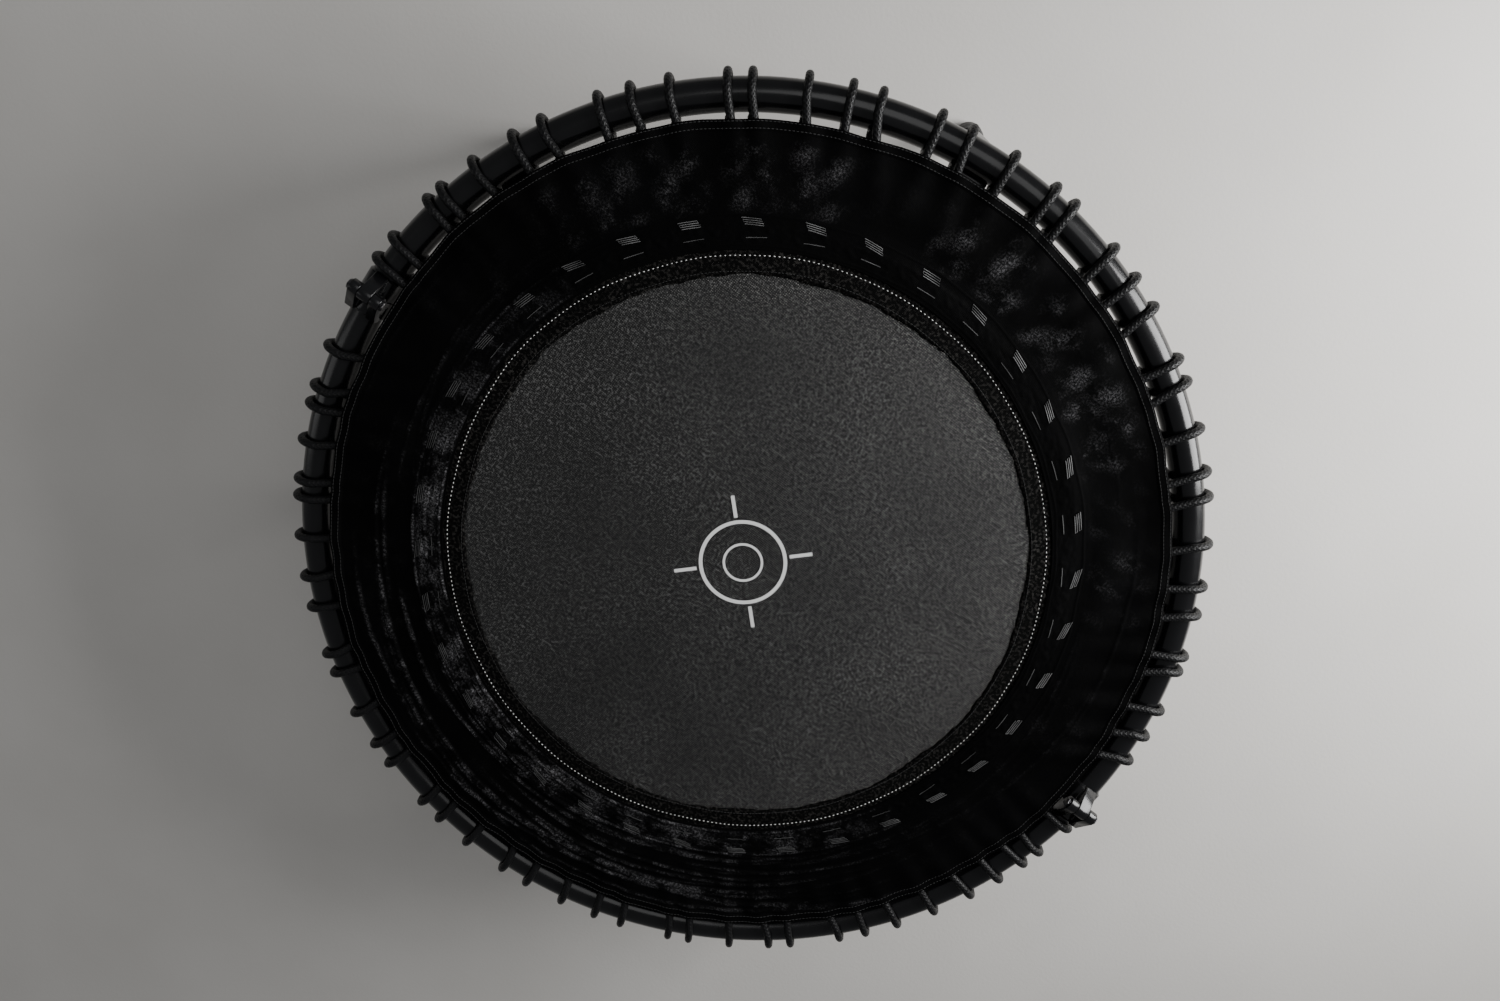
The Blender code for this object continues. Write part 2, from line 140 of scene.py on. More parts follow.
def full_turn(count):
    return np.linspace(0.0, 2 * math.pi, count, endpoint=False)


def spun(degrees, axis="Z"):
    return Matrix.Rotation(math.radians(degrees), 4, axis)


def moved(points, matrix):
    m = np.array(matrix)
    return points @ m[:3, :3].T + m[:3, 3]


def run_length(line):
    """How far along a line each of its points lies."""
    return np.concatenate([[0.0], np.cumsum(np.linalg.norm(np.diff(line, axis=0), axis=1))])


# ---- mesh building ---------------------------------------------------------------------------------


class Shape:
    """Collects points and faces, with a flat coordinate in metres for each face corner."""

    def __init__(self):
        self.points = []
        self.faces = []
        self.flat = []

    def grid(self, points, us=None, vs=None, around=False):
        """Quads over a grid of points. Its columns close on themselves if around is set."""
        rows, columns = points.shape[:2]
        base = len(self.points)
        self.points.extend(map(tuple, points.reshape(-1, 3)))
        for i in range(rows - 1):
            for j in range(columns if around else columns - 1):
                corners = ((i, j), (i, j + 1), (i + 1, j + 1), (i + 1, j))
                self.faces.append([base + a * columns + b % columns for a, b in corners])
                for a, b in corners:
                    here = points[a, b % columns]
                    self.flat.append((here[0], here[1]) if us is None else (us[a], vs[b]))
        return base

    def cap(self, indices):
        self.faces.append(list(indices))
        self.flat.extend((self.points[i][0], self.points[i][1]) for i in indices)

    def cap_ends(self, base, rows, columns):
        """Closes both ends of a grid that goes around."""
        self.cap(range(base, base + columns))
        last = base + (rows - 1) * columns
        self.cap(range(last, last + columns))

    def tube(self, line, radius, sides, capped=True):
        """A round tube along a line of points."""
        line = np.asarray(line, float)
        radii = np.broadcast_to(np.asarray(radius, float), (len(line),))
        side, rise = transported(line)
        turn = full_turn(sides)[None, :, None]
        ring = np.cos(turn) * side[:, None] + np.sin(turn) * rise[:, None]
        points = line[:, None] + radii[:, None, None] * ring
        base = self.grid(points, run_length(line), np.linspace(0.0, 1.0, sides + 1), around=True)
        if capped:
            self.cap_ends(base, len(line), sides)

    def lathe(self, profile, steps, matrix):
        """A turned solid from (radius, height) points that run from the axis or a hollow back to it."""
        turn = full_turn(steps)
        profile = np.asarray(profile, float)
        points = np.empty((len(profile), steps, 3))
        points[..., 0] = profile[:, :1] * np.cos(turn)
        points[..., 1] = profile[:, :1] * np.sin(turn)
        points[..., 2] = profile[:, 1:]
        around = np.linspace(0.0, 2 * math.pi * float(profile[:, 0].max()), steps + 1)
        base = self.grid(moved(points, matrix), run_length(profile), around, around=True)
        self.cap_ends(base, len(profile), steps)

    def object(self, name, material, sharp=38.0):
        mesh = bpy.data.meshes.new(name)
        mesh.from_pydata(self.points, [], self.faces)
        layer = mesh.uv_layers.new(name="flat")
        layer.data.foreach_set("uv", np.array(self.flat, np.float32).ravel())
        made = link(name, mesh, material)
        tidy_normals(mesh, sharp)
        return made


def link(name, mesh, material):
    made = bpy.data.objects.new(name, mesh)
    bpy.context.scene.collection.objects.link(made)
    mesh.materials.append(material)
    return made


def tidy_normals(mesh, sharp):
    shape = bmesh.new()
    shape.from_mesh(mesh)
    bmesh.ops.remove_doubles(shape, verts=shape.verts, dist=1e-7)
    bmesh.ops.recalc_face_normals(shape, faces=shape.faces)
    shape.to_mesh(mesh)
    shape.free()
    mesh.shade_smooth()
    mesh.set_sharp_from_angle(angle=math.radians(sharp))


def transported(line):
    """Two directions across each point of a line, turning as little as possible along it."""
    along = np.gradient(line, axis=0)
    along /= np.linalg.norm(along, axis=1)[:, None]
    first = np.cross((0.0, 0.0, 1.0), along[0])
    if np.linalg.norm(first) < 1e-3:
        first = np.cross((1.0, 0.0, 0.0), along[0])
    side = np.empty_like(line)
    side[0] = first / np.linalg.norm(first)
    for i in range(1, len(line)):
        here = side[i - 1] - along[i] * (side[i - 1] @ along[i])
        side[i] = here / np.linalg.norm(here)
    return side, np.cross(along, side)


def smooth_line(points, step):
    """A smooth curve through the points (Catmull-Rom), with a point about every step."""
    p = np.asarray(points, float)
    p = np.vstack([2 * p[0] - p[1], p, 2 * p[-1] - p[-2]])
    out = []
    for a, b, c, d in zip(p[:-3], p[1:-2], p[2:-1], p[3:]):
        count = max(1, int(round(np.linalg.norm(c - b) / step)))
        for t in np.arange(count) / count:
            bend = 2 * b + (c - a) * t + (2 * a - 5 * b + 4 * c - d) * t**2 + (3 * b - a - 3 * c + d) * t**3
            out.append(bend / 2)
    out.append(p[-2])
    return np.array(out)


def plate(name, outline, thickness, matrix, material, bevel):
    """A flat plate cut to an outline in its own XY plane, centred on it, with eased edges."""
    shape = bmesh.new()
    corners = [shape.verts.new((x, y, -thickness / 2)) for x, y in outline]
    face = shape.faces.new(corners)
    for item in bmesh.ops.extrude_face_region(shape, geom=[face])["geom"]:
        if isinstance(item, bmesh.types.BMVert):
            item.co.z += thickness
    bmesh.ops.recalc_face_normals(shape, faces=shape.faces)
    edges = [e for e in shape.edges if e.calc_face_angle(0.0) > math.radians(50)]
    bmesh.ops.bevel(
        shape, geom=edges, offset=bevel, segments=3, profile=0.5, affect="EDGES", clamp_overlap=True
    )
    shape.transform(matrix)
    mesh = bpy.data.meshes.new(name)
    shape.to_mesh(mesh)
    shape.free()
    made = link(name, mesh, material)
    mesh.shade_smooth()
    mesh.set_sharp_from_angle(angle=math.radians(50))
    return made


def joined(name, objects):
    """Several objects made one."""
    for other in bpy.context.selected_objects:
        other.select_set(False)
    for item in objects:
        item.select_set(True)
    bpy.context.view_layer.objects.active = objects[0]
    bpy.ops.object.join()
    objects[0].name = name
    objects[0].data.name = name
    objects[0].select_set(False)
    return objects[0]


def bends(obj):
    """The piece crosses the fold. Its placing is baked into its points, and it is not attached to either
    half.
    """
    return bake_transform(obj)


# ---- materials -------------------------------------------------------------------------------------


class Paint:
    """A material under construction: its node tree and its shader."""

    def __init__(self, name, colour, roughness, **uniform):
        self.material = bpy.data.materials.new(name)
        self.material.use_nodes = True
        self.tree = self.material.node_tree
        self.shader = self.tree.nodes["Principled BSDF"]
        self.set("Base Color", (*colour, 1.0))
        self.set("Roughness", roughness)
        for socket, value in uniform.items():
            self.set(socket.replace("_", " "), value)

    def set(self, socket, value):
        self.shader.inputs[socket].default_value = value

    def feed(self, socket, source):
        self.tree.links.new(source, self.shader.inputs[socket])

    def node(self, kind, inputs=(), **settings):
        made = self.tree.nodes.new(kind)
        for key, value in settings.items():
            setattr(made, key, value)
        for key, value in dict(inputs).items():
            if isinstance(value, bpy.types.NodeSocket):
                self.tree.links.new(value, made.inputs[key])
            else:
                made.inputs[key].default_value = value
        return made

    def place(self, flat=False, stretch=(1.0, 1.0, 1.0)):
        """Where the surface is: in its own metres, or on its flat pattern."""
        source = self.node("ShaderNodeTexCoord").outputs["UV" if flat else "Object"]
        return self.node("ShaderNodeMapping", {"Vector": source, "Scale": stretch}).outputs[0]

    def noise(self, place, scale, detail=3.0, rough=0.5):
        inputs = {"Vector": place, "Scale": scale, "Detail": detail, "Roughness": rough}
        return self.node("ShaderNodeTexNoise", inputs).outputs[0]

    def maths(self, operation, a, b=0.0):
        return self.node("ShaderNodeMath", {0: a, 1: b}, operation=operation).outputs[0]

    def between(self, value, low, high, out_low=0.0, out_high=1.0):
        inputs = {"Value": value, "From Min": low, "From Max": high, "To Min": out_low, "To Max": out_high}
        return self.node("ShaderNodeMapRange", inputs).outputs[0]

    def mixed(self, share, first, second):
        made = self.node("ShaderNodeMix", {0: share}, data_type="RGBA")
        for socket, colour in ((6, first), (7, second)):
            if isinstance(colour, bpy.types.NodeSocket):
                self.tree.links.new(colour, made.inputs[socket])
            else:
                made.inputs[socket].default_value = (*colour, 1.0)
        return made.outputs[2]

    def bump(self, height, distance, strength, under=None):
        inputs = {"Height": height, "Distance": distance, "Strength": strength}
        if under is not None:
            inputs["Normal"] = under
        return self.node("ShaderNodeBump", inputs).outputs[0]

    def wave(self, place, axis, pitch):
        """0 to 1 and back once every pitch along an axis of a place."""
        coordinate = self.node("ShaderNodeSeparateXYZ", {0: place}).outputs[axis]
        phase = self.maths("MULTIPLY", coordinate, 2 * math.pi / pitch)
        return self.between(self.maths("SINE", phase), -1.0, 1.0)


def painted_steel():
    """Gloss black powder coat: a faint orange peel, handling smudges and a few pale scuffs."""
    coat = {"Specular_IOR_Level": 0.4, "Coat_Weight": 0.15, "Coat_Roughness": 0.1}
    p = Paint("painted_steel", (0.004, 0.004, 0.0045), 0.22, **coat)
    here = p.place()
    smudge = p.noise(here, 9.0, 4.0, 0.6)
    grain = p.noise(here, 1500.0, 2.0)
    scuff = p.noise(p.place(stretch=(60.0, 60.0, 420.0)), 1.0, 5.0, 0.7)
    scuffed = p.between(scuff, 0.70, 0.78)
    p.feed("Base Color", p.mixed(scuffed, (0.004, 0.004, 0.0045), (0.035, 0.035, 0.035)))
    worn = p.maths("ADD", p.between(smudge, 0.3, 0.7, 0.15, 0.30), p.maths("MULTIPLY", scuffed, 0.2))
    p.feed("Roughness", worn)
    p.feed("Normal", p.bump(grain, 0.00012, 0.35))
    return p.material


def black_steel():
    """Blackened steel of the bolts and screws, turned and slightly rubbed."""
    p = Paint("black_steel", (0.09, 0.09, 0.095), 0.35, Metallic=1.0)
    here = p.place()
    wear_and_sheen = p.between(p.noise(here, 220.0, 4.0, 0.65), 0.45, 0.75)
    p.feed("Base Color", p.mixed(wear_and_sheen, (0.055, 0.055, 0.06), (0.30, 0.29, 0.28)))
    p.feed("Roughness", p.between(p.noise(here, 900.0), 0.3, 0.7, 0.25, 0.5))
    p.feed("Normal", p.bump(p.noise(p.place(stretch=(1.0, 1.0, 8.0)), 1200.0), 0.0001, 0.4))
    return p.material


def cord_cover():
    """The cords' braided cover: two families of yarns crossing, polished on their crowns, with painted shade
    darkening the grooves between the yarns.
    """
    p = Paint("cord_braid", (0.004, 0.004, 0.005), 0.4, Specular_IOR_Level=0.25)
    place = p.node("ShaderNodeTexCoord").outputs["UV"]
    split = p.node("ShaderNodeSeparateXYZ", {0: place})
    along = p.maths("MULTIPLY", split.outputs[0], 2 * math.pi / 0.0056)
    across = p.maths("MULTIPLY", split.outputs[1], 2 * math.pi * 6)
    right = p.maths("SINE", p.maths("ADD", along, across))
    left = p.maths("SINE", p.maths("SUBTRACT", along, across))
    braid = p.maths("MAXIMUM", right, left)
    fleck = p.between(p.noise(p.place(), 900.0, 2.0), 0.55, 0.75)
    ridge = p.between(braid, 0.1, 1.0)
    # Painted shade: the grooves between the yarns are darker than the crowns.
    tone = p.mixed(ridge, (0.0015, 0.0015, 0.0018), (0.0045, 0.0045, 0.005))
    p.feed("Base Color", p.mixed(p.maths("MULTIPLY", fleck, 0.25), tone, (0.05, 0.05, 0.05)))
    p.feed("Roughness", p.between(ridge, 0.0, 1.0, 0.60, 0.33))
    p.feed("Normal", p.bump(braid, 0.0005, 0.55))
    return p.material


def woven(name, pitch, colour, light, open_share, grain, speckle, gloss):
    """Open-weave cloth that shows what is behind it through the holes between its yarns."""
    p = Paint(name, colour, 0.55, Specular_IOR_Level=gloss)
    place = p.place(flat=True)
    warp = p.wave(place, 0, pitch)
    weft = p.wave(place, 1, pitch)
    hole = p.maths("MULTIPLY", warp, weft)
    slub = p.noise(p.place(flat=True, stretch=(1.0, 1.8, 1.0)), speckle, 2.0, 0.8)
    edge = p.maths("ADD", hole, p.between(slub, 0.3, 0.7, -grain, grain))
    cut = 1.0 - open_share * 1.9
    p.feed("Alpha", p.between(edge, cut - 0.16, cut + 0.16, 1.0, 0.0))
    yarn = p.maths("MAXIMUM", p.maths("SUBTRACT", 1.0, warp), p.maths("SUBTRACT", 1.0, weft))
    speck = p.between(p.noise(place, speckle * 1.05, 1.0, 0.5), 0.50, 0.61, 0.02, 1.0)
    broad = p.between(p.noise(place, 7.0, 4.0), 0.35, 0.7, 0.35, 1.0)
    coarse = p.between(p.noise(place, speckle * 0.42, 2.0, 0.6), 0.42, 0.60, 0.35, 1.0)
    share = p.maths("MULTIPLY", p.maths("MULTIPLY", speck, coarse), broad)
    p.feed("Base Color", p.mixed(share, colour, light))
    p.feed("Roughness", p.between(share, 0.0, 1.0, 0.66, 0.36))
    p.feed("Normal", p.bump(yarn, 0.0004, 0.8))
    return p.material


def skirt_cloth():
    """The skirt's close black cloth, greyer and shinier in patches: partly wear where the cords rub it from
    below, and painted sheen on the lit side, along crease crests and on the slack strip.
    """
    p = Paint("skirt_cloth", (0.003, 0.003, 0.003), 0.5, Specular_IOR_Level=0.035)
    place = p.place(flat=True)
    weave = p.maths("MAXIMUM", p.wave(place, 0, 0.0013), p.wave(place, 1, 0.0013))
    # This attribute carries painted sheen as well as some wear over the cords.
    wear_and_sheen = p.node("ShaderNodeAttribute", attribute_name="wear_and_sheen").outputs["Fac"]
    speckle = p.between(p.noise(place, 380.0, 4.0, 0.85), 0.49, 0.60)
    broad = p.between(p.noise(place, 30.0, 4.0, 0.7), 0.45, 0.57, 0.06, 1.0)
    sheen_grey = p.maths("MULTIPLY", p.maths("MULTIPLY", wear_and_sheen, broad), p.between(speckle, 0.0, 1.0, 0.06, 1.0))
    faded = p.between(p.noise(place, 6.0, 4.0), 0.3, 0.7)
    base = p.mixed(faded, (0.0006, 0.0006, 0.0006), (0.0018, 0.0018, 0.0020))
    # Painted sheen: the cloth turns grey where light would catch it.
    p.feed("Base Color", p.mixed(sheen_grey, base, (0.200, 0.196, 0.205)))
    p.feed("Roughness", p.between(sheen_grey, 0.0, 1.0, 0.55, 0.40))
    fine = p.bump(weave, 0.0003, 0.6)
    p.feed("Normal", p.bump(p.noise(place, 150.0, 4.0, 0.65), 0.0007, 0.4, fine))
    return p.material


def webbing():
    """Ribbed black webbing."""
    p = Paint("webbing", (0.004, 0.004, 0.004), 0.6, Specular_IOR_Level=0.12)
    place = p.place(flat=True)
    ribs = p.maths("MULTIPLY", p.wave(place, 0, 0.0018), p.wave(place, 1, 0.0011))
    worn = p.between(p.noise(place, 300.0, 3.0), 0.5, 0.75)
    p.feed("Base Color", p.mixed(p.maths("MULTIPLY", worn, 0.4), (0.002, 0.002, 0.002), (0.03, 0.03, 0.03)))
    p.feed("Normal", p.bump(ribs, 0.0004, 0.8))
    return p.material


def thread(name, dark, light, painted_shade=0.0):
    """Sewing thread with a visible twist. The last argument sets how much darker the thread is painted, as
    shade, on the mat's side away from the light.
    """
    p = Paint(name, light, 0.55)
    place = p.place(flat=True, stretch=(1.0, 0.0006, 1.0))
    split = p.node("ShaderNodeSeparateXYZ", {0: place})
    twist = p.maths("SINE", p.maths("MULTIPLY", p.maths("ADD", split.outputs[0], split.outputs[1]), 9000.0))
    soil = p.between(p.noise(p.place(), 35.0, 3.0), 0.35, 0.7)
    # Painted shade: the thread darkens to near black towards the side of the mat away from the light.
    spot = p.node("ShaderNodeSeparateXYZ", {0: p.place()})
    toward_light = p.maths("MULTIPLY", spot.outputs[0], 0.33)
    toward_light = p.maths("ADD", toward_light, p.maths("MULTIPLY", spot.outputs[1], 0.94))
    shaded_share = p.between(toward_light, -0.10, 0.30, painted_shade, 0.0)
    p.feed("Base Color", p.mixed(shaded_share, p.mixed(soil, light, dark), (0.006, 0.006, 0.006)))
    p.feed("Normal", p.bump(twist, 0.00015, 0.6))
    return p.material


def print_ink():
    """Matt white screen print, thin enough for the weave to show in it."""
    p = Paint("print_ink", (0.80, 0.80, 0.79), 0.6)
    place = p.place(flat=True)
    weave = p.maths("MULTIPLY", p.wave(place, 0, 0.0016), p.wave(place, 1, 0.0016))
    chipped = p.between(p.noise(place, 520.0, 4.0, 0.7), 0.62, 0.74)
    p.feed("Base Color", p.mixed(p.maths("MULTIPLY", chipped, 0.5), (0.82, 0.82, 0.81), (0.35, 0.35, 0.35)))
    p.feed("Normal", p.bump(weave, 0.00025, 0.6))
    return p.material


def rubber():
    """Dusty dark grey rubber."""
    p = Paint("foot_rubber_grain", (0.05, 0.05, 0.049), 0.75)
    here = p.place()
    dust = p.between(p.noise(here, 28.0, 5.0, 0.65), 0.4, 0.75)
    p.feed("Base Color", p.mixed(dust, (0.042, 0.042, 0.041), (0.115, 0.112, 0.105)))
    p.feed("Roughness", p.between(dust, 0.0, 1.0, 0.6, 0.9))
    p.feed("Normal", p.bump(p.noise(here, 1300.0, 3.0), 0.0002, 0.5))
    return p.material


def moulded_plastic():
    """Black plastic with a spark-eroded grain, shiny where hands have polished it."""
    p = Paint("moulded_plastic", (0.018, 0.018, 0.018), 0.5)
    here = p.place()
    grain = p.node("ShaderNodeTexVoronoi", {"Vector": here, "Scale": 1400.0}).outputs["Distance"]
    polish = p.between(p.noise(here, 40.0, 3.0), 0.35, 0.7)
    p.feed("Base Color", p.mixed(polish, (0.008, 0.008, 0.008), (0.020, 0.020, 0.020)))
    p.feed("Roughness", p.between(polish, 0.0, 1.0, 0.36, 0.6))
    p.feed("Normal", p.bump(grain, 0.0002, 0.5))
    return p.material


STEEL = painted_steel()
BOLT_STEEL = black_steel()
CORD = cord_cover()
MESH = woven("mat_mesh_cloth", 0.0023, (0.0006,) * 3, (0.100, 0.100, 0.098), 0.03, 0.36, 300.0, 0.42)
BAND = woven("band_cloth", 0.0015, (0.0008,) * 3, (0.034, 0.032, 0.030), 0.01, 0.16, 250.0, 0.05)
SKIRT = skirt_cloth()
WEBBING = webbing()
WHITE_THREAD = thread("white_thread", (0.45, 0.45, 0.44), (0.85, 0.85, 0.83))
# The grey and dim threads are painted darker, as shade, on the mat's side away from the light.
GREY_THREAD = thread("grey_thread", (0.06, 0.06, 0.06), (0.30, 0.30, 0.30), 0.80)
DIM_THREAD = thread("dim_thread", (0.02, 0.02, 0.02), (0.13, 0.13, 0.13), 0.75)
BLACK_THREAD = thread("black_thread", (0.003, 0.003, 0.003), (0.012, 0.012, 0.012))
INK = print_ink()
RUBBER = rubber()
PLASTIC = moulded_plastic()


# ---- camera, light and floor -----------------------------------------------------------------------

CAMERA_OFFSET = Vector((-0.1845, 0.3628, 1.183))
CAMERA_RIGHT = Vector((0.8008, 0.5968, -0.0516))
CAMERA_UP = Vector((-0.5874, 0.7649, -0.266))
LENS = 24.0
FLOOR_REACH = 30.0
FLOOR_DROP = 0.0004
FLOOR_POINTS = 21


def make_camera():
    data = bpy.data.cameras.new("camera")
    data.lens = LENS
    data.sensor_width = 36.0
    camera = bpy.data.objects.new("camera", data)
    bpy.context.scene.collection.objects.link(camera)
    right = CAMERA_RIGHT.normalized()
    back = right.cross(CAMERA_UP).normalized()
    up = back.cross(right)
    camera.matrix_world = Matrix.LocRotScale(
        Vector((0.0, 0.0, RING_Z)) + CAMERA_OFFSET, Matrix((right, up, back)).transposed(), None
    )
    bpy.context.scene.camera = camera


def area_light(name, place, toward_light, size, power):
    data = bpy.data.lights.new(name, "AREA")
    data.shape = "RECTANGLE"
    data.size, data.size_y = size
    data.energy = power
    lamp = bpy.data.objects.new(name, data)
    bpy.context.scene.collection.objects.link(lamp)
    lamp.location = place
    lamp.rotation_euler = (Vector(toward_light) - Vector(place)).to_track_quat("-Z", "Y").to_euler()


def make_studio():
    middle = Vector((0.0, 0.0, RING_Z))
    right = Vector((CAMERA_RIGHT.x, CAMERA_RIGHT.y, 0.0)).normalized()
    up = Vector((CAMERA_UP.x, CAMERA_UP.y, 0.0)).normalized()
    key = middle + right * 1.8 + up * 0.40 + Vector((0, 0, 0.66))
    area_light("key", key, middle, (1.0, 1.3), 70.0)
    area_light("top", middle + right * 0.9 + up * 1.2 + Vector((0, 0, 2.7)), middle, (2.0, 2.0), 16.0)
    area_light("fill", middle - right * 2.2 + up * 0.3 + Vector((0, 0, 1.1)), middle, (0.7, 1.6), 3.0)
    world = bpy.data.worlds.new("studio")
    world.use_nodes = True
    background = world.node_tree.nodes["Background"]
    background.inputs["Color"].default_value = (0.95, 0.97, 1.0, 1.0)
    background.inputs["Strength"].default_value = 0.16
    bpy.context.scene.world = world


def make_floor():
    shape = Shape()
    xs = np.linspace(-FLOOR_REACH, FLOOR_REACH, FLOOR_POINTS)
    level = np.full((FLOOR_POINTS, FLOOR_POINTS), -FLOOR_DROP)
    points = np.stack([*np.meshgrid(xs, xs, indexing="ij"), level], axis=-1)
    shape.grid(points)
    p = Paint("floor_pale", (0.62, 0.60, 0.57), 0.85)
    tone = p.between(p.noise(p.place(), 3.0, 5.0), 0.3, 0.7)
    p.feed("Base Color", p.mixed(tone, (0.60, 0.58, 0.55), (0.65, 0.63, 0.60)))
    p.feed("Normal", p.bump(p.noise(p.place(), 180.0, 3.0), 0.001, 0.2))
    underneath = p.node("ShaderNodeNewGeometry").outputs["Backfacing"]
    p.feed("Alpha", p.maths("SUBTRACT", 1.0, underneath))
    floor = shape.object("floor", p.material)
    if floor.data.polygons[0].normal.z < 0.0:
        floor.data.flip_normals()


# ---- the steel ring --------------------------------------------------------------------------------


def arc_angles(side, segments=112):
    """Angles along one half of the ring, from tube end to tube end."""
    start = math.degrees(math.asin(FOLD_GAP / RING_RADIUS))
    angles = np.linspace(start, 180.0 - start, segments + 1)
    return angles if side > 0 else angles + 180.0


def make_ring_tube(body, word, side):
    """The bent tube with its wall showing at the open ends."""
    shape = Shape()
    line = np.array([polar(RING_RADIUS, a, RING_Z) for a in arc_angles(side)])
    shape.tube(line, TUBE_RADIUS, sides=RING_SIDES, capped=False)
    inner = len(shape.points)
    for end, step in ((0, 1), (-1, -1)):
        outer_ring = range(0, RING_SIDES) if end == 0 else range(inner - RING_SIDES, inner)
        centre = line[end]
        base = len(shape.points)
        for index in outer_ring:
            here = centre + (np.array(shape.points[index]) - centre) * (TUBE_BORE / TUBE_RADIUS)
            shape.points.append(tuple(here))
        inward = line[end + 3 * step] - line[end]
        depth = inward / np.linalg.norm(inward) * PLUG_DEPTH
        for index in range(RING_SIDES):
            shape.points.append(tuple(np.array(shape.points[base + index]) + depth))
        for i in range(RING_SIDES):
            j = (i + 1) % RING_SIDES
            first = outer_ring[i], outer_ring[j]
            shape.faces.append([first[0], first[1], base + j, base + i])
            shape.faces.append([base + i, base + j, base + RING_SIDES + j, base + RING_SIDES + i])
            shape.flat.extend([(0.0, 0.0)] * 8)
        shape.cap(range(base + RING_SIDES, base + 2 * RING_SIDES))
    ring = shape.object(f"ring_tube_{word}", STEEL, sharp=50.0)
    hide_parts(f"frame_half_{word}")
    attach(ring, body)


def collar_profile():
    """Outer radius and length of a tube-end collar, with turned edges and a weld fillet behind it."""
    r, length, ease = COLLAR_RADIUS, COLLAR_LENGTH, 0.0012
    bore = TUBE_RADIUS + 0.0001
    return [
        (bore, FOLD_GAP),
        (r - ease, FOLD_GAP),
        (r - ease * 0.3, FOLD_GAP + ease * 0.3),
        (r, FOLD_GAP + ease),
        (r, length - ease),
        (r - ease * 0.3, length - ease * 0.3),
        (r - ease, length),
        (TUBE_RADIUS + 0.0016, length + 0.0005),
        (TUBE_RADIUS + 0.0006, length + 0.0016),
        (bore, length + 0.0026),
    ]


def make_collars(body, word, side):
    shape = Shape()
    for end in (-1, 1):
        turn = spun(-90.0 * side, "X")
        shape.lathe(collar_profile(), 40, Matrix.Translation((end * RING_RADIUS, 0.0, RING_Z)) @ turn)
    collars = shape.object(f"tube_collars_{word}", STEEL, sharp=30.0)
    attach(collars, body)


def leaf_outline():
    """One hinge leaf across the pin: distance from the fold, and height above the ring's middle."""
    barrel = []
    for step in range(25):
        angle = math.radians(40.0 + step * 260.0 / 24)
        barrel.append((KNUCKLE_RADIUS * math.cos(angle), HINGE_RISE + KNUCKLE_RADIUS * math.sin(angle)))
    reach = LEAF_REACH
    foot = [(0.0045, 0.0195), (0.0045, 0.009), (reach - 0.004, 0.009), (reach, 0.013), (reach, 0.0225)]
    return barrel + foot


def leaf_middles(side):
    """Where the leaves of one half lie along the pin, and how thick each is."""
    if side > 0:
        return [(0.0, MIDDLE_LEAF)]
    out = MIDDLE_LEAF / 2 + LEAF_GAP + OUTER_LEAF / 2
    return [(-out, OUTER_LEAF), (out, OUTER_LEAF)]


def make_leaves(body, word, side):
    leaves = []
    for end in (-1, 1):
        for offset, thickness in leaf_middles(side):
            axes = Matrix(((0, 0, 1), (side, 0, 0), (0, 1, 0))).to_4x4()
            matrix = Matrix.Translation((end * RING_RADIUS + offset, 0.0, RING_Z)) @ axes
            leaves.append(plate("leaf", leaf_outline(), thickness, matrix, STEEL, 0.0010))
    made = joined(f"hinge_leaves_{word}", leaves)
    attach(made, body)


def weld_bead(shape, points, radius, pitch=0.0028):
    """A bead of weld along a line, rippled where the pool froze."""
    line = smooth_line(points, pitch / 4)
    length = run_length(line)
    ripple = 1.0 + 0.16 * np.sin(2 * math.pi * length / pitch)
    ripple[0] = ripple[-1] = 0.5
    shape.tube(line, radius * ripple, sides=8)


def saddle_outline():
    """The saddle's end view: a block under the tube that holds the leg in a round groove below."""
    half, groove = 0.019, LEG_RADIUS + 0.0006
    bottom = -0.032
    reach = math.sqrt(groove**2 - (bottom + LEG_DROP) ** 2)
    start = math.atan2(bottom + LEG_DROP, reach)
    arc = [start + (math.pi - 2 * start) * k / 14 for k in range(15)]
    hollow = [(groove * math.cos(a), -LEG_DROP + groove * math.sin(a)) for a in arc]
    return [(half, -0.0105), (half, bottom), *hollow, (-half, bottom), (-half, -0.0105)]


def make_saddles(body, word, side):
    saddles, beads = [], Shape()
    for angle in legs_of(body):
        spin = spun(angle)
        axes = Matrix(((0, 0, 1), (1, 0, 0), (0, 1, 0))).to_4x4()
        matrix = spin @ Matrix.Translation((SADDLE_MIDDLE, 0.0, RING_Z)) @ axes
        saddles.append(plate("saddle", saddle_outline(), SADDLE_LENGTH, matrix, STEEL, 0.0014))
        end = SADDLE_MIDDLE + SADDLE_LENGTH / 2
        for out, z in ((RING_RADIUS - 0.0166, -0.0098), (end + 0.0004, -0.0192)):
            here = [spin @ Vector((out - 0.9 * y * y, y, RING_Z + z)) for y in (-0.018, 0.0, 0.018)]
            weld_bead(beads, here, radius=0.0022)
    made = joined(f"leg_saddles_{word}", saddles)
    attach(made, body)
    for end in (-1, 1):
        for offset, thickness in leaf_middles(side):
            for edge in (-1, 1):
                x = end * RING_RADIUS + offset + edge * thickness / 2
                drop = math.sqrt(COLLAR_RADIUS**2 - (x - end * RING_RADIUS) ** 2)
                here = [Vector((x, side * y, RING_Z + drop)) for y in (0.006, 0.014, 0.0225)]
                weld_bead(beads, here, radius=0.0014)
    welds = beads.object(f"weld_beads_{word}", STEEL)
    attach(welds, body)


